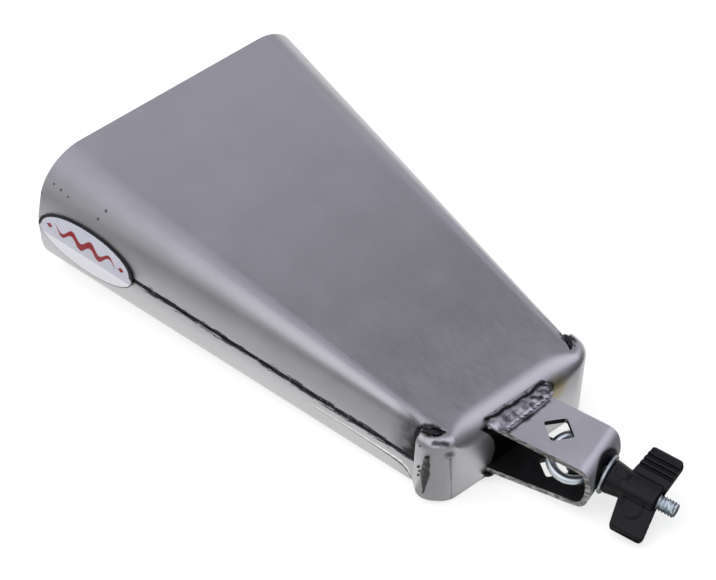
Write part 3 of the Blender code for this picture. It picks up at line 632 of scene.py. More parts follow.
def moulded_nylon(name):
    """Glass-filled black nylon from a fine-eroded mould: dark, matt, with a soft sheen."""
    made, tree, shader, place = new_material(name)

    # The mould's grit is finer than a pixel, so it is drawn a third of a millimetre wide
    grit = add(tree, NOISE, place, Scale=per(0.3125), Detail=2.0)
    cloud = add(tree, NOISE, place, Scale=per(7.14), Detail=3.0)
    nylon = colours().nylon
    base = mottled(tree, shader, cloud, rgba(nylon, 0.8), rgba(nylon, 1.25), (0.26, 0.36))
    bump = add(tree, BUMP, Strength=0.35, Distance=0.04 * MM, Height=grit)
    fill(tree, shader, Base_Color=base, Specular_IOR_Level=0.26, Normal=bump)
    return made


def plated_bush(name):
    """Plain plated steel bush: grey, turned, a little dull."""
    made, tree, shader, place = new_material(name)
    cloud = add(tree, NOISE, place, Scale=per(1.11), Detail=2.0)
    base = mottled(tree, shader, cloud, rgba(linear("#8f9192")), rgba(linear("#a9abad")), (0.25, 0.4))
    fill(tree, shader, Base_Color=base, Metallic=1.0)
    return made


def badge_enamel(name):
    """Vitreous enamel on a thin plate: glossy white ground with its lowest part painted pure white as bounced
    light, black rim, red ornament.
    """
    made, tree, shader, place = new_material(name)
    palette = colours()
    plane = add(tree, BADGE_MAP)
    u, v, _ = add(tree, AXES, plane).node.outputs
    inset = add(tree, SMOOTH, v, -0.15, 0.05, 0.975, 0.925)
    rim = add(tree, SMOOTH, add(tree, MINUS, add(tree, LENGTH, plane), inset), 0.0, 0.012)
    cloud = add(tree, NOISE, place, Scale=per(8.33), Detail=3.0)
    ground = add(tree, SMOOTH, cloud, *SPAN)
    base = add(tree, BLEND, ground, rgba(palette.enamel, 0.94), rgba(palette.enamel))
    # Painted light: the lowest part of the ground is pure white, standing in for the floor's light bounced
    # onto it
    base = add(tree, BLEND, add(tree, SMOOTH, v, -0.27, -0.33), base, (1.0, 1.0, 1.0, 1.0))

    # A red wave that thins towards both ends: its turns, swing, rise, thinning and border
    waves = 16.0
    swing = 0.17
    rise = 0.20
    thinning = 0.36
    wave_edge = (0.155, 0.170)
    wave = add(tree, TIMES, add(tree, SINE, add(tree, TIMES, u, waves)), swing)
    height = add(tree, SIZE, add(tree, MINUS, v, add(tree, PLUS, wave, rise)))
    from_middle = add(tree, SIZE, u)
    thin = add(tree, TIMES, add(tree, POWER, from_middle, 2.0), thinning)
    red = add(tree, SMOOTH, add(tree, PLUS, thin, height), *wave_edge, 1.0, 0.0)

    # A lozenge beyond each end: its middle, height for its width, and border
    end, lift = 0.76, 0.15
    tallness = 1.6
    lozenge_edge = (0.100, 0.115)
    side = add(tree, SIZE, add(tree, MINUS, from_middle, end))
    level = add(tree, SIZE, add(tree, MINUS, v, lift))
    lozenge = add(tree, PLUS, add(tree, TIMES, side, tallness), level)
    red = add(tree, LARGER, red, add(tree, SMOOTH, lozenge, *lozenge_edge, 1.0, 0.0))
    base = add(tree, BLEND, red, base, rgba(palette.ornament))
    base = add(tree, BLEND, rim, base, rgba(palette.border))
    fill(tree, shader, Base_Color=base, Roughness=0.25)
    return made


# Each finish with its maker and the maker's values
# Welds: burnt and bare colour, how much more is laid bare, size of the bare places in millimetres
# Zinc: share of its full brightness that it keeps
FINISHES = {
    "satin_rolled_steel": (shell_steel,),
    # Painted highlight and shadow of the lap edge
    "satin_strap_steel": (strap_steel,),
    "scraped_lap_steel": (lap_light_and_shadow,),
    "sheared_strap_edge": (sheared_edge,),
    # Painted shade inside the strap
    "black_mill_scale": (inner_shade,),
    "burnt_seam_weld": (weld_metal, "weld_dark", "weld_bright", -0.05, 1.6),
    "smeared_corner_weld": (weld_metal, "weld_smear", "weld_grey", 0.02, 3.0),
    "bright_clamp_weld": (weld_metal, "weld_smear", "weld_bright", 0.22, 4.0),
    "blue_zinc_plate": (zinc_plate, 1.0),
    "worn_zinc_plate": (zinc_plate, 0.6),
    "black_moulded_nylon": (moulded_nylon,),
    "plated_turned_steel": (plated_bush,),
    "oval_badge_enamel": (badge_enamel,),
}


def finish(name):
    """A material that is made on its first use and shared afterwards."""
    maker, *values = FINISHES[name]
    return bpy.data.materials.get(name) or maker(name, *values)


class COWBELL_OT_front_half(bpy.types.Operator):
    """Front half with rounded sheet edges and hammer marks at the near corner, with painted shade in the
    marks and along the crack behind each ear
    """

    bl_idname = "cowbell.front_half"
    bl_label = "Front half"

    # Below this height the feet of the ears keep their sheared edges
    feet = 3.2 * MM

    # Patches at the two ears that are cut fine: low corner, high corner, step
    patches = (
        ((0.0850, -0.0420, 0.0150), (0.1045, -0.0310, 0.0365), 0.8 * MM),
        ((0.0850, 0.0310, 0.0240), (0.0985, 0.0420, 0.0365), 1.0 * MM),
    )

    # The crack behind each ear, from the seam up and over the ear's dome, along which painted shade darkens
    # the shell
    crack = (
        (87.8, -39.5, 16.5), (87.8, -39.3, 21.2), (87.5, -38.9, 25.0), (87.4, -38.4, 28.9),
        (88.2, -37.7, 32.7), (89.9, -36.2, 34.5), (92.1, -34.8, 35.1), (95.2, -34.2, 35.0),
    )

    # Hammer marks: path, reach in millimetres, share of the full depth, darkness of the painted shade in them
    dents = (
        (((102.6, -35.4, 28.6), (102.6, -35.0, 27.8)), 2.6, 0.6, 0.70),
        (
            ((97.6, -38.9, 33.2), (99.2, -37.9, 33.5), (100.7, -36.5, 33.4), (101.8, -35.5, 33.0)),
            1.7, 0.5, 0.85,
        ),
    )

    def execute(self, context):
        obj = merged_copy("front_shell", "front_half")
        round_edges(obj, sizes().rim_round, 55, above=self.feet)
        for low, high, step in self.patches:
            cut_grid(obj, Vector(low), Vector(high), step)
        # Painted shade in the hammer marks and along both cracks
        marks = [(path, reach * 0.8, dark) for path, reach, _, dark in self.dents]
        paint_dark(obj, marks + [(crack, 1.9, 0.95) for crack in (self.crack, mirrored(self.crack))])
        displace(obj, self.hammered)
        hand_over(obj, "bell", ["front_shell"], "brushed_steel_shell", "satin_rolled_steel")
        return {"FINISHED"}

    def hammered(self, vertex):
        """How far the hammer marks push a point in."""
        move = Vector()
        for path, reach, share, _ in self.dents:
            fall = max(0.0, 1.0 - (near_path(vertex.co, path) / (reach * MM)) ** 2)
            move -= vertex.normal * (sizes().dent_depth * share * fall**2)
        return move


class COWBELL_OT_rear_half(bpy.types.Operator):
    """Rear half with rounded sheet edges and the lap edge below the near seam, with its painted highlight and
    shadow
    """

    bl_idname = "cowbell.rear_half"
    bl_label = "Rear half"

    # The thin edge that the weld left along the near side, curling down at the ear
    lap = (
        (34.5, -46.3, 14.5), (46.7, -44.4, 14.0), (56.5, -43.0, 13.6), (66.1, -41.5, 13.0),
        (73.4, -40.5, 12.4), (79.2, -39.7, 12.0), (82.0, -39.2, 11.5), (84.3, -38.7, 9.6),
        (85.9, -38.1, 5.5),
    )

    # Its half thickness at the start and what it gains to the end, and its waviness
    lap_thin = 0.30 * MM
    lap_gain = 0.45 * MM
    lap_wobble = 0.25 * MM
    lap_waves = 22.0

    # Its half width above and below, in half thicknesses, its height and how far it stands off the wall
    lap_upper = 1.8
    lap_lower_gain = 3.2
    lap_height = 0.18
    lap_off = 0.03 * MM

    # How fast it thickens at its start and thins at its end, and the share of thickness left there
    lap_start = 8.0
    lap_finish = 12.0
    lap_blunt = 0.3

    def execute(self, context):
        obj = merged_copy("rear_shell", "rear_half")
        round_edges(obj, sizes().rim_round, 55)
        hand_over(obj, "bell", ["rear_shell"], "brushed_steel_shell", "satin_rolled_steel")
        # The lap edge: a painted highlight on top, a painted shadow below
        hand_over(self.lap_edge(obj), "bell", [], "weld_bead", "scraped_lap_steel", angle=80)
        return {"FINISHED"}

    def lap_edge(self, half):
        """A strip laid on the wall along the path, dark on its lower side as its painted shadow."""
        path = [Vector(point) * MM for point in self.lap]
        reaches = [0.0]
        for first, last in zip(path, path[1:]):
            reaches.append(reaches[-1] + (last - first).length)

        shadowed_half = []

        def place(share, across, up):
            shadowed_half.append(1.0 if across < 0.0 else 0.0)
            at = share * reaches[-1]
            k = next(k for k in range(1, len(path)) if at <= reaches[k] + 1e-9)
            point = path[k - 1].lerp(path[k], (at - reaches[k - 1]) / (reaches[k] - reaches[k - 1]))
            _, spot, facing, _ = half.closest_point_on_mesh(point)
            ends = min(1.0, share * self.lap_start, (1.0 - share) * self.lap_finish + self.lap_blunt)
            thick = (self.lap_thin + self.lap_gain * share**3) * ends
            wobble = self.lap_wobble * noise.noise(Vector((share * self.lap_waves, 0.0, 0.0)))
            flat = (Vector((0.0, 0.0, 1.0)) - facing * facing.z).normalized()
            wide = self.lap_upper if across > 0.0 else self.lap_upper + self.lap_lower_gain * share**3
            _, foot, facing, _ = half.closest_point_on_mesh(spot + flat * (across * thick * wide + wobble))
            return foot + facing * (up * thick * self.lap_height + self.lap_off)

        lap = bead("lap_edge_near", 160, 10, place)
        # Painted shadow on the strip's lower half
        lap.data.attributes.new("soot", "FLOAT", "POINT").data.foreach_set("value", shadowed_half)
        return lap


class COWBELL_OT_side_welds(bpy.types.Operator):
    """Rough weld lines between the halves"""

    bl_idname = "cowbell.side_welds"
    bl_label = "Side welds"

    # Edges longer than this are cut
    long_edge = 1.5 * MM

    # How far the bead swells outwards and wanders up and down, each with its lumps to the metre
    swell = 0.7 * MM
    swell_grain = 240.0
    wander = 0.35 * MM
    wander_grain = 170.0

    def execute(self, context):
        for seed, side in enumerate(("near", "far")):
            obj = merged_copy(f"seam_weld_{side}", f"side_weld_{side}")
            for _ in range(2):
                select(obj, "EDGE", lambda edge: edge.calc_length() > self.long_edge)
                bpy.ops.mesh.subdivide(number_cuts=1)
                bpy.ops.object.mode_set(mode="OBJECT")
            self.overfill(obj, -1.0 if side == "near" else 1.0)
            roughen(obj, 1.6 * MM, 0.18 * MM, seed + 1)
            hand_over(obj, "bell", [f"seam_weld_{side}"], "weld_bead", "burnt_seam_weld", angle=60)
        return {"FINISHED"}

    def overfill(self, obj, side):
        """Lets the bead swell out of its groove in places."""
        for vertex in obj.data.vertices:
            share = max(0.0, noise.noise(vertex.co * self.swell_grain) + 0.15)
            vertex.co.y += side * self.swell * share
            vertex.co.z += self.wander * noise.noise(vertex.co * self.wander_grain)


class COWBELL_OT_corner_welds(bpy.types.Operator):
    """Lumpy upright beads on the ears, the plugs behind them and the bead along the foot of the end wall"""

    bl_idname = "cowbell.corner_welds"
    bl_label = "Corner welds"

    # Droplets beside each bead: place in millimetres, y outwards, and radius
    drops = (
        (92.75, 41.5, 18.8, 0.7), (94.2, 41.25, 17.2, 0.9), (93.0, 41.4, 16.6, 0.6),
        (92.6, 41.5, 14.1, 0.5), (93.3, 41.5, 30.2, 0.6),
    )

    # Curve of the near plug, in millimetres
    plug_path = ((89.4, -37.1, 33.2), (92.8, -36.1, 33.8), (96.5, -34.8, 33.8))
    plug_radius = 1.35 * MM
    plug_flatness = 1.5
    plug_across = Vector((0.35, 0.94, 0.0))

    # Share of its radius that is lost at its ends, and its lumps: height, and how close along and round it
    plug_loss = 0.65
    plug_lump = 0.25
    lumps_along = 9.0
    lumps_round = 1.5

    # Width of each bead's lower end, and the shares of its height between which it spreads
    crack_width = 0.4
    spread_from = 0.15
    spread_over = 0.25

    def execute(self, context):
        for seed, side in enumerate(("near", "far")):
            obj = merged_copy(f"corner_weld_{side}", f"corner_bead_{side}")
            self.taper(obj, 1.2 if side == "near" else 0.9)
            self.spatter(obj, 1.0 if side == "near" else -1.0)
            melt(obj, 0.3 * MM, 3)
            roughen(obj, 2.2 * MM, sizes().weld_lump * 0.8, seed + 3)
            hand_over(obj, "bell", [f"corner_weld_{side}"], "weld_bead", "smeared_corner_weld", angle=60)
            hand_over(self.plug(side), "bell", [], "weld_bead", "burnt_seam_weld", angle=80)
        foot = merged_copy("end_weld", "foot_bead")
        self.sink_ends(foot)
        hand_over(foot, "bell", ["end_weld"], "weld_bead", "satin_rolled_steel", angle=60)
        return {"FINISHED"}

    def sink_ends(self, foot):
        """Levels the foot's bead towards its ends."""
        level = 2.25 * MM
        start = 31.0 * MM
        run = 6.0 * MM
        for vertex in foot.data.vertices:
            fade = min(1.0, max(0.0, (abs(vertex.co.y) - start) / run))
            vertex.co.z += (level - vertex.co.z) * fade

    def plug(self, side):
        """Burnt weld that fills the crack behind the ear's dome."""
        sign = 1.0 if side == "near" else -1.0
        first, middle, last = (Vector((x, y * sign, z)) * MM for x, y, z in self.plug_path)
        along, out, _ = self.plug_across

        def place(share, across, up):
            spine = first.lerp(middle, share).lerp(middle.lerp(last, share), share)
            thick = self.plug_radius * (1.0 - self.plug_loss * (2.0 * share - 1.0) ** 2)
            spot = (share * self.lumps_along, across * self.lumps_round, up * self.lumps_round + sign)
            lump = 1.0 + self.plug_lump * noise.noise(Vector(spot))
            aside = Vector((along, out * sign, 0.0)) * (self.plug_flatness * across)
            return spine + (aside + Vector((0.0, 0.0, up))) * (thick * lump)

        return bead(f"ear_plug_{side}", 18, 16, place)

    def taper(self, obj, spread):
        """Spreads the bead above its middle and thins it to a crack below."""
        heights = [vertex.co.z for vertex in obj.data.vertices]
        low = min(heights)
        high = max(heights)
        ends = []
        for level in (low, high):
            near = [v.co for v in obj.data.vertices if abs(v.co.z - level) < 2.0 * MM]
            ends.append(sum(near, Vector()) / len(near))
        for vertex in obj.data.vertices:
            share = (vertex.co.z - low) / (high - low)
            centre = ends[0].lerp(ends[1], share)
            risen = min(1.0, max(0.0, (share - self.spread_from) / self.spread_over))
            width = self.crack_width + spread * risen
            vertex.co.x = centre.x + (vertex.co.x - centre.x) * width

    def spatter(self, obj, side):
        """Droplets that flew off the bead and stuck."""
        only(obj)
        bpy.ops.object.mode_set(mode="EDIT")
        for x, y, z, radius in self.drops:
            place = Vector((x, -side * y, z)) * MM
            bpy.ops.mesh.primitive_ico_sphere_add(subdivisions=2, radius=radius * MM, location=place)
        bpy.ops.object.mode_set(mode="OBJECT")


class COWBELL_OT_clamp_strap(bpy.types.Operator):
    """Strap of the rod clamp: polished outside, painted black shade inside its U and on its holes' walls,
    torn along its edges
    """

    bl_idname = "cowbell.clamp_strap"
    bl_label = "Clamp strap"

    # Patch beside the weld that is cut fine, and the painted shade in it, along the weld's toe and wider at
    # the blot
    patch = ((0.1050, -0.0150, 0.0295), (0.1120, 0.0150, 0.0325))
    toe = (
        (110.6, -13.0, 30.6), (110.1, -5.9, 30.6), (109.9, 0.0, 30.5),
        (109.6, 4.4, 30.4), (109.0, 10.4, 30.4),
    )
    blot = ((109.9, -4.0, 30.5), (109.7, 1.0, 30.5))

    # In the strap's own frame: a point inside its U, and the middle and reach of the diamond holes
    core = Vector((0.016, 0.0, 0.0))
    hole_middle = 18.3 * MM
    hole_reach = 7.6 * MM

    # Shares of a face's normal that tell inner faces, walls of holes and cut edges from the rest
    aslant = 0.6
    facing_in = 0.25
    facing_side = 0.8

    def execute(self, context):
        obj = merged_copy("bracket", "clamp_strap")
        round_edges(obj, sizes().strap_round, 50)
        cut_grid(obj, *(Vector(corner) for corner in self.patch), 0.7 * MM)
        # Painted shade along the weld's toe, wider at the blot
        paint_dark(obj, [(self.toe, 0.75, 0.95), (self.blot, 1.3, 0.95)])
        for name in ("satin_strap_steel", "black_mill_scale", "sheared_strap_edge"):
            obj.data.materials.append(finish(name))
        to_strap = STRAP_FRAME.inverted()
        turn = to_strap.to_3x3()

        def inner(face):
            place = to_strap @ face.calc_center_median()
            facing = turn @ face.normal
            inward = self.core - place
            inward.y = 0.0
            inside = abs(facing.y) < self.aslant and facing.dot(inward.normalized()) > self.facing_in
            near_hole = abs(place.x - self.hole_middle) + abs(place.y) < self.hole_reach
            return inside or (near_hole and abs(facing.z) < self.aslant)

        def cut(face):
            return abs((turn @ face.normal).y) > self.facing_side

        # Slot 1 is painted shade: the faces inside the U and the holes' walls turn nearly black
        for index, wanted in ((1, inner), (2, cut)):
            select(obj, "FACE", wanted)
            obj.active_material_index = index
            bpy.ops.object.material_slot_assign()
            bpy.ops.object.mode_set(mode="OBJECT")
        hand_over(obj, "bell", ["bracket"], "brushed_steel_strap", angle=35, even=True)
        return {"FINISHED"}


class COWBELL_OT_clamp_welds(bpy.types.Operator):
    """Beads that hold the strap on the end wall, the upper one bright, with painted shade along its borders
    and burnt places on it
    """

    bl_idname = "cowbell.clamp_welds"
    bl_label = "Clamp welds"

    # Borders of the upper bead, on the fold and on the strap, where painted shade darkens the creases
    back = (
        (101.6, -15.1, 32.7), (102.5, -11.0, 32.8), (102.1, -7.0, 32.8), (102.9, -2.5, 32.8),
        (102.3, 1.5, 32.8), (102.9, 6.0, 32.8), (102.0, 10.5, 32.8), (102.0, 15.0, 32.6),
    )
    toe = (
        (110.0, -11.5, 30.6), (109.7, -5.9, 30.6), (109.3, 2.4, 30.5),
        (108.6, 9.8, 30.4), (107.8, 14.0, 30.6),
    )

    # Burnt places on it
    pool = ((104.6, 5.4, 32.5), (105.6, 7.0, 32.2), (106.4, 8.8, 31.9))
    end = ((102.7, 12.6, 32.8), (104.4, 14.4, 32.4), (106.2, 13.9, 31.8))
    swirl = ((104.0, 9.4, 32.6), (104.9, 11.4, 32.5), (106.2, 11.6, 32.0))

    # Its lumps: share of the usual height, and lumps to the metre
    lumps = 1.1
    lump_grain = 170.0

    # The lobe at its near end, with its reach and rise
    lobe = Vector((104.2, -14.6, 30.4)) * MM
    lobe_reach = 3.2 * MM
    lobe_rise = 0.9 * MM

    # How far and how high its toe swells
    toe_reach = 2.6 * MM
    toe_rise = 0.25 * MM

    # The eddy at its far end: a hollow ring of this radius, half width and depth
    eddy = Vector((105.3, 10.4, 32.3)) * MM
    eddy_radius = 2.3 * MM
    eddy_half = 0.8 * MM
    eddy_depth = 0.25 * MM

    def execute(self, context):
        upper = merged_copy("bracket_weld_upper", "clamp_bead_upper")
        upper.data.transform(STRAP_FRAME.inverted())
        melt(upper, 0.25 * MM, 8)
        upper.data.transform(STRAP_FRAME)
        displace(upper, self.swell)
        # Painted shade along both borders; burnt places at the pool, the end and the swirl
        borders = [(self.back, 1.25, 0.95), (self.toe, 1.0, 0.95)]
        paint_dark(upper, borders + [(self.pool, 1.1, 0.85), (self.end, 0.9, 0.9), (self.swirl, 0.6, 0.7)])
        hand_over(upper, "bell", ["bracket_weld_upper"], "weld_bead", "bright_clamp_weld", angle=80)
        lower = merged_copy("bracket_weld_lower", "clamp_bead_lower")
        melt(lower, 0.40 * MM, 3)
        roughen(lower, 3.0 * MM, sizes().weld_lump, 6)
        hand_over(lower, "bell", ["bracket_weld_lower"], "weld_bead", "burnt_seam_weld", angle=80)
        return {"FINISHED"}

    def swell(self, vertex):
        """Lumps of the melt, the lobe, the thicker toe and the hollow ring of the eddy."""
        rise = sizes().weld_lump * self.lumps * noise.noise(vertex.co * self.lump_grain)
        near = (vertex.co - self.lobe).length / self.lobe_reach
        rise += self.lobe_rise * max(0.0, 1.0 - near**2)
        near = near_path(vertex.co, self.toe) / self.toe_reach
        rise += self.toe_rise * max(0.0, 1.0 - near**2)
        away = ((vertex.co - self.eddy).length - self.eddy_radius) / self.eddy_half
        rise -= self.eddy_depth * max(0.0, 1.0 - away**2)
        return vertex.normal * rise


class COWBELL_OT_eye_bolt(bpy.types.Operator):
    """Eye bolt: a ring of round wire and a shank with a real thread"""

    bl_idname = "cowbell.eye_bolt"
    bl_label = "Eye bolt"

    # Along the bolt from its joint: the ring's middle and the shank's tip
    centre = -13.15 * MM
    tip = 30.35 * MM

    # The ring: how far it sits low, how it is turned, its wire and its inner diameter
    drop = -0.5 * MM
    tilt = radians(21.0)
    wire = 3.9 * MM
    inside = 14.2 * MM

    # The thread: its outer radius, and the rings of points to each pitch
    outer = 6.35 * MM / 2
    samples = 10

    # Slope of its flanks, and what they lose to the flat crest
    flank_slope = 2.6
    crest = 0.15

    # How much thinner the shank is at its tip and at the ring, and how fast it widens from there
    tip_cut = 0.2 * MM
    tip_slope = 1.1
    neck_cut = 0.9 * MM
    neck_slope = 0.8

    def execute(self, context):
        start = self.centre + self.inside / 2 + self.wire * 0.45
        reach = self.tip - start
        pitch = sizes().thread_pitch
        root = self.outer - sizes().thread_depth

        def place(share, across, up):
            along = start + reach * share
            radius = hypot(across, up)
            turn = atan2(up, across) / (2 * pi)
            phase = (along / pitch - turn) % 1.0
            flank = min(1.0, max(0.0, abs(phase - 0.5) * self.flank_slope - self.crest))
            thread = self.outer - sizes().thread_depth * flank
            chamfer = root - self.tip_cut + (self.tip - along) * self.tip_slope
            neck = self.outer - self.neck_cut + (along - start) * self.neck_slope
            thread = min(thread, chamfer, neck)
            if radius < 0.5:
                return BOLT_FRAME @ Vector((along, 0.0, 0.0))
            return BOLT_FRAME @ Vector((along, across / radius * thread, up / radius * thread))

        obj = bead("eye_bolt_threaded", int(reach / pitch * self.samples), 36, place)
        ring = added(
            bpy.ops.mesh.primitive_torus_add,
            "eye_ring",
            major_segments=96,
            minor_segments=28,
            major_radius=(self.inside + self.wire) / 2,
            minor_radius=self.wire / 2,
        )
        seat = Matrix.Translation((self.centre, 0.0, self.drop)) @ Matrix.Rotation(self.tilt, 4, "X")
        ring.data.transform(BOLT_FRAME @ seat)
        only(obj, ring)
        bpy.ops.object.join()
        hand_over(obj, "eye", ["eye_bolt"], "zinc_plate", "blue_zinc_plate", angle=50)
        return {"FINISHED"}


class COWBELL_OT_washer(bpy.types.Operator):
    """Plain washer, darker than the bolt"""

    bl_idname = "cowbell.washer"
    bl_label = "Washer"

    def execute(self, context):
        obj = merged_copy("washer", "plain_washer")
        hand_over(obj, "bell", ["washer"], "zinc_plate", "worn_zinc_plate", angle=30)
        return {"FINISHED"}


class COWBELL_OT_wing_nut(bpy.types.Operator):
    """Wing nut with moulded fillets and its threaded bush"""

    bl_idname = "cowbell.wing_nut"
    bl_label = "Wing nut"

    # The finger groove at each tip, which is smoothed away: its reach from the bolt, half width and rounds
    tip_groove = 15.82 * MM
    tip_half = 0.95 * MM
    tip_rounds = 80

    # The other finger grooves: reach from the bolt and added depth in millimetres
    grooves = ((13.52, 0.45), (11.22, 0.45), (8.92, 1.0))
    groove_half = 0.75 * MM

    # Points of the wings further from the middle plane than this belong to their faces
    skin = 1.9 * MM

    # The ejector's round on the lower wing: its middle, facing, radius, and its line's half width and depth
    spot = Vector((156.3, 7.6, 11.8)) * MM
    spot_facing = Vector((0.30, -0.41, 0.86)).normalized()
    spot_radius = 4.2 * MM
    spot_half = 0.55 * MM
    spot_depth = 0.35 * MM

    # How far from the round's plane and middle a point may lie to be pressed
    spot_skin = 1.2 * MM
    spot_reach = 5.5 * MM

    # The rib on the neck: its middle, facing, half length, half width, rise, and the depth of skin that rises
    rib = Vector((147.2, 11.0, 19.9)) * MM
    rib_facing = Vector((0.38, -0.15, 0.91)).normalized()
    rib_long = 2.6 * MM
    rib_half = 1.3 * MM
    rib_rise = 0.5 * MM
    rib_skin = 1.5 * MM

    def execute(self, context):
        obj = merged_copy("wing_nut", "wing_nut_moulded")
        melt(obj, sizes().nut_voxel, 2)
        self.groove(obj)
        self.press(obj)
        hand_over(obj, "nut", ["wing_nut"], "black_nylon", "black_moulded_nylon", angle=80)
        bush = merged_copy("wing_nut_insert", "nut_bush")
        round_edges(bush, 0.2 * MM, 50)
        hand_over(bush, "nut", ["wing_nut_insert"], "plated_insert", "plated_turned_steel")
        return {"FINISHED"}

    def groove(self, obj):
        """Fills the finger groove at each tip, deepens the next two and presses a third nearer the hub."""
        frame_out = BOLT_FRAME @ Matrix.Rotation(NUT_REST_ANGLE, 4, "X")
        frame_in = frame_out.inverted()

        def at_tip(face):
            place = frame_in @ face.calc_center_median()
            side = 1.0 if place.z > 0.0 else -1.0
            return abs(place.z) > self.skin and abs(side * place.y - self.tip_groove) < self.tip_half

        select(obj, "FACE", at_tip)
        bpy.ops.mesh.vertices_smooth(factor=0.5, repeat=self.tip_rounds)
        bpy.ops.object.mode_set(mode="OBJECT")
        for vertex in obj.data.vertices:
            place = frame_in @ vertex.co
            side = 1.0 if place.z > 0.0 else -1.0
            if abs(place.z) < self.skin:
                continue
            for reach, deep in self.grooves:
                fall = max(0.0, 1.0 - ((side * place.y - reach * MM) / self.groove_half) ** 2)
                place.z -= side * deep * MM * fall
            vertex.co = frame_out @ place

    def press(self, obj):
        """A plain round of the mould's ejector on the lower wing, and a rib on the neck."""
        along = BOLT_FRAME.to_3x3() @ Vector((1.0, 0.0, 0.0))
        across = along.cross(self.rib_facing).normalized()
        for vertex in obj.data.vertices:
            arm = vertex.co - self.spot
            deep = arm.dot(self.spot_facing)
            wide = (arm - self.spot_facing * deep).length
            if abs(deep) < self.spot_skin and wide < self.spot_reach:
                edge = max(0.0, 1.0 - ((wide - self.spot_radius) / self.spot_half) ** 2)
                vertex.co -= self.spot_facing * (self.spot_depth * edge)
            arm = vertex.co - self.rib
            on_rib = abs(arm.dot(along)) < self.rib_long and abs(arm.dot(across)) < self.rib_half
            if on_rib and arm.dot(self.rib_facing) > -self.rib_skin:
                vertex.co += self.rib_facing * self.rib_rise


class COWBELL_OT_badge(bpy.types.Operator):
    """Oval badge that bends over the seam"""

    bl_idname = "cowbell.badge"
    bl_label = "Badge"

    # The oval, and its gap to the mouth's rim
    half_length = 24.5 * MM
    half_height = 13.4 * MM
    gap = 0.8 * MM

    # The side below the badge: its place at the mouth, how much it narrows to the end, the height of its
    # flat part above the seam, and twice the radius of the fold over it
    mouth_side = -68.3 * MM
    narrowing = 30.85 * MM
    flat = 9.6 * MM
    fold = 41.6 * MM

    def execute(self, context):
        obj = merged_copy("badge", "oval_badge")
        to_bell = BELL_FRAME.inverted()
        middle = self.gap + self.half_length
        layer = obj.data.uv_layers.new(name="badge")
        for loop in obj.data.loops:
            place = to_bell @ obj.data.vertices[loop.vertex_index].co
            layer.data[loop.index].uv = ((place.x - middle) / self.half_length, place.z / self.half_height)
        self.settle(obj, to_bell)
        hand_over(obj, "bell", ["badge"], "enamel_badge", "oval_badge_enamel", angle=35)
        return {"FINISHED"}

    def settle(self, obj, to_bell):
        """Draws the upper half down on the flat part of the side, clear of the fold."""
        share = 0.80
        for vertex in obj.data.vertices:
            place = to_bell @ vertex.co
            if place.z <= 0.0:
                continue
            side = self.mouth_side + self.narrowing * place.x / BELL_LENGTH
            bend = max(0.0, place.z - self.flat) ** 2 - max(0.0, share * place.z - self.flat) ** 2
            place.y = side + share * (place.y - side) - share * bend / self.fold
            place.z *= share
            vertex.co = BELL_FRAME @ place


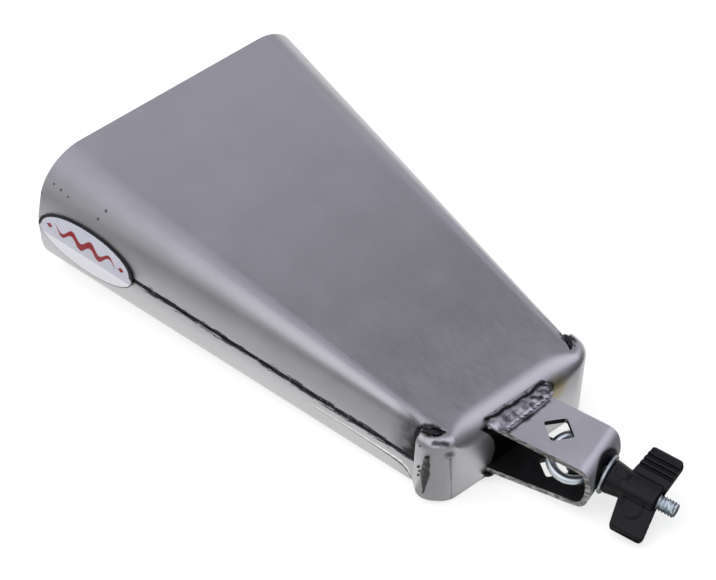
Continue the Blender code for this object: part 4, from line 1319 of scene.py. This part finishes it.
class COWBELL_OT_stage(bpy.types.Operator):
    """Pale floor, soft walls, lamps, reflected cards and the camera"""

    bl_idname = "cowbell.stage"
    bl_label = "Stage"

    # Light of the walls by height, from below to overhead
    wall_glow = (
        (0.0, 0.34), (0.20, 0.45), (0.40, 0.68), (0.60, 0.76), (0.76, 0.72), (0.88, 0.64), (1.0, 0.52),
    )
    wall_tint = (0.98, 0.95, 1.09)

    # The low part of the walls that is gloomy: its direction and colour
    gloom_side = (0.87, 0.49, 0.0)
    gloom_colour = (0.05, 0.05, 0.05, 1.0)

    # What the paper adds to its own light, so that it shows nearly white
    paper_tint = (0.985, 1.0, 0.975, 1.0)
    paper_glow = 0.70

    # The point that the lamps are turned to
    aim = Vector((0.0, 0.0, 0.03))

    # Tints of the cards
    violet = (1.0, 0.97, 1.12, 1.0)
    dusk = (1.0, 1.0, 1.03, 1.0)

    # Cards: place, size, turn in degrees, tint, and the glow at places along their x axis
    cards = {
        "roof_card": (
            (-0.37, 0.215, 0.36), (0.86, 0.41), (0.0, 0.0, 0.0), violet,
            ((-0.05, 0.60), (0.36, 0.20)),
        ),
        "right_card": (
            (0.34, 0.125, 0.37), (0.54, 0.51), (0.0, 0.0, 0.0), violet,
            ((-0.27, 0.55), (-0.12, 1.15)),
        ),
        "dark_card": (
            (0.610, 0.26, 0.001), (1.0, 0.60), (0.0, 0.0, 0.0), dusk,
            ((-0.50, 1.0), (-0.485, 0.45), (-0.45, 0.08)),
        ),
        "corner_card": (
            (0.179, -0.1225, 0.0015), (0.235, 0.182), (0.0, 0.0, 90.0), dusk,
            ((0.0625, 0.49), (0.0860, 0.52), (0.1010, 0.75), (0.1145, 1.0)),
        ),
        "front_flag": (
            (-0.15, -0.5, 0.085), (0.70, 0.16), (90.0, 0.0, 0.0), dusk,
            ((-0.17, 0.62), (0.02, 0.40)),
        ),
        "front_card": (
            (0.2347, -0.2882, 0.001), (0.5, 0.797), (0.0, 0.0, 97.65), dusk,
            ((0.05, 0.28), (0.235, 0.42), (0.25, 1.0)),
        ),
        "mouth_card": (
            (-0.36, -0.368, 0.001), (0.5, 0.403), (0.0, 0.0, 97.65), dusk,
            ((0.05, 0.44), (0.235, 0.54), (0.25, 1.0)),
        ),
    }

    # Camera of the photograph: its angles, what it looks at, how far off, and its focal length in pixels
    turn = radians(47.467)
    rise = radians(43.405)
    roll = radians(0.19)
    target = Vector((0.014975, -0.001045, 0.02928))
    distance = 1.343675
    focal = 3456.695
    picture_width = 716
    sensor = 36.0

    def execute(self, context):
        self.lay_floor()
        self.light_walls(context)
        studio = context.scene.cowbell_studio
        self.hang_lamp("soft_top", (-0.2, -0.3, 1.3), (1.6, 1.6), studio.top, False)
        self.hang_lamp("key", (0.06, -0.80, 0.66), (1.2, 0.85), studio.key, True)
        for name, card in self.cards.items():
            self.hang_card(name, *card)
        self.set_camera(context)
        return {"FINISHED"}

    def set_glow(self, ramp, steps, tint):
        """Sets a ramp's stops to tinted light levels."""
        stops = ramp.color_ramp.elements
        while len(stops) < len(steps):
            stops.new(0.5)
        for stop, (at, level) in zip(stops, steps):
            stop.position = at
            stop.color = rgba(tint, level)

    def lay_floor(self):
        """Matt paper that shows nearly white to the camera and in reflections."""
        floor = added(bpy.ops.mesh.primitive_plane_add, "floor", size=6.0)
        made, tree, shader, place = new_material("pale_paper")
        paper = colours().floor
        cloud = add(tree, NOISE, place, Scale=per(167.0), Detail=3.0)
        base = add(tree, BLEND, add(tree, SMOOTH, cloud, *SPAN), rgba(paper, 0.99), rgba(paper))
        ray = add(tree, RAY).node.outputs
        seen = add(tree, LARGER, ray["Is Glossy Ray"], ray["Is Transmission Ray"])
        seen = add(tree, LARGER, ray["Is Camera Ray"], seen)
        glow = add(tree, TIMES, seen, self.paper_glow)
        fill(tree, shader, Base_Color=base, Roughness=0.9, Specular_IOR_Level=0.1)
        fill(tree, shader, Emission_Color=self.paper_tint, Emission_Strength=glow)
        floor.data.materials.append(made)

    def light_walls(self, context):
        """Soft walls all round, with a gloomy low part behind the clamp."""
        world = bpy.data.worlds.new("soft_walls")
        context.scene.world = world
        world.use_nodes = True
        tree = world.node_tree
        tree.nodes.clear()
        place = add(tree, PLACE).node.outputs["Generated"]
        level = add(tree, AXES, place).node.outputs["Z"]
        glow = add(tree, RAMP, level)
        self.set_glow(glow.node, self.wall_glow, self.wall_tint)
        gloom = add(tree, SMOOTH, add(tree, DOT, place, self.gloom_side), 0.55, 0.85)
        gloom = add(tree, TIMES, gloom, add(tree, SMOOTH, level, 0.15, 0.45, 0.9, 0.0))
        shade = add(tree, BLEND, gloom, glow, self.gloom_colour)
        light = add(tree, SKY, Color=shade, Strength=context.scene.cowbell_studio.sky)
        add(tree, WORLD, Surface=light)

    def hang_lamp(self, name, place, size, power, shines):
        """A soft lamp turned to the bell, which shines in reflections or only lights."""
        lamp = added(bpy.ops.object.light_add, name, type="AREA", location=place)
        lamp.data.shape = "RECTANGLE"
        lamp.data.size, lamp.data.size_y = size
        lamp.data.energy = power
        lamp.visible_camera = False
        lamp.visible_glossy = shines
        lamp.rotation_euler = (Vector(place) - self.aim).to_track_quat("Z", "Y").to_euler()

    def hang_card(self, name, place, size, turn, tint, steps):
        """A card that only reflections see, its glow changing along its x axis."""
        card = added(bpy.ops.mesh.primitive_plane_add, name, size=1.0)
        card.data.transform(Matrix.Diagonal((*size, 1.0, 1.0)))
        card.location = place
        card.rotation_euler = [radians(angle) for angle in turn]
        made, tree, shader, spot = new_material(name)
        wide = size[0]
        along = add(tree, LINEAR, add(tree, AXES, spot), -wide / 2, wide / 2)
        glow = add(tree, RAMP, along)
        self.set_glow(glow.node, [(at / wide + 0.5, level) for at, level in steps], (1.0, 1.0, 1.0))
        fill(tree, shader, Base_Color=(0.0, 0.0, 0.0, 1.0), Specular_IOR_Level=0.0)
        fill(tree, shader, Emission_Color=tint, Emission_Strength=glow)
        card.data.materials.append(made)
        card.visible_camera = False
        card.visible_diffuse = False
        card.visible_shadow = False

    def set_camera(self, context):
        """The photograph's own view."""
        turn, rise, roll = self.turn, self.rise, self.roll
        back = Vector((sin(turn) * cos(rise), -cos(turn) * cos(rise), sin(rise)))
        right = Vector((cos(turn), sin(turn), 0.0))
        up = back.cross(right)
        right, up = right * cos(roll) + up * sin(roll), up * cos(roll) - right * sin(roll)
        data = bpy.data.cameras.new("photo_view")
        data.sensor_width = self.sensor
        data.lens = self.focal / self.picture_width * self.sensor
        data.clip_start = 0.01
        data.clip_end = 20.0
        camera = bpy.data.objects.new("photo_view", data)
        context.scene.collection.objects.link(camera)
        place = Matrix((right, up, back)).transposed().to_4x4()
        place.translation = self.target + back * self.distance
        camera.matrix_world = place
        context.scene.camera = camera
        context.scene.view_settings.view_transform = "Standard"


class COWBELL_PT_panel(bpy.types.Panel):
    """Sizes, colours and steps of the cowbell"""

    bl_idname = "COWBELL_PT_panel"
    bl_label = "Cowbell"
    bl_space_type = "VIEW_3D"
    bl_region_type = "UI"
    bl_category = "Cowbell"

    def draw(self, context):
        scene = context.scene
        for group in (scene.cowbell_sizes, scene.cowbell_colours, scene.cowbell_studio):
            column = self.layout.column()
            for name in group.bl_rna.properties.keys():
                if name not in ("rna_type", "name"):
                    column.prop(group, name)
        for step in STEPS:
            self.layout.operator(step.bl_idname)


GROUPS = (CowbellColours, CowbellSizes, CowbellStudio)
STEPS = (
    COWBELL_OT_front_half,
    COWBELL_OT_rear_half,
    COWBELL_OT_side_welds,
    COWBELL_OT_corner_welds,
    COWBELL_OT_clamp_strap,
    COWBELL_OT_clamp_welds,
    COWBELL_OT_eye_bolt,
    COWBELL_OT_washer,
    COWBELL_OT_wing_nut,
    COWBELL_OT_badge,
    COWBELL_OT_stage,
)


def register():
    for item in (*GROUPS, *STEPS, COWBELL_PT_panel):
        bpy.utils.register_class(item)
    bpy.types.Scene.cowbell_colours = bpy.props.PointerProperty(type=CowbellColours)
    bpy.types.Scene.cowbell_sizes = bpy.props.PointerProperty(type=CowbellSizes)
    bpy.types.Scene.cowbell_studio = bpy.props.PointerProperty(type=CowbellStudio)


def unregister():
    del bpy.types.Scene.cowbell_studio
    del bpy.types.Scene.cowbell_sizes
    del bpy.types.Scene.cowbell_colours
    for item in reversed((*GROUPS, *STEPS, COWBELL_PT_panel)):
        bpy.utils.unregister_class(item)


def main():
    register()
    for step in STEPS:
        group, name = step.bl_idname.split(".")
        getattr(getattr(bpy.ops, group), name)()


if __name__ == "__main__":
    main()
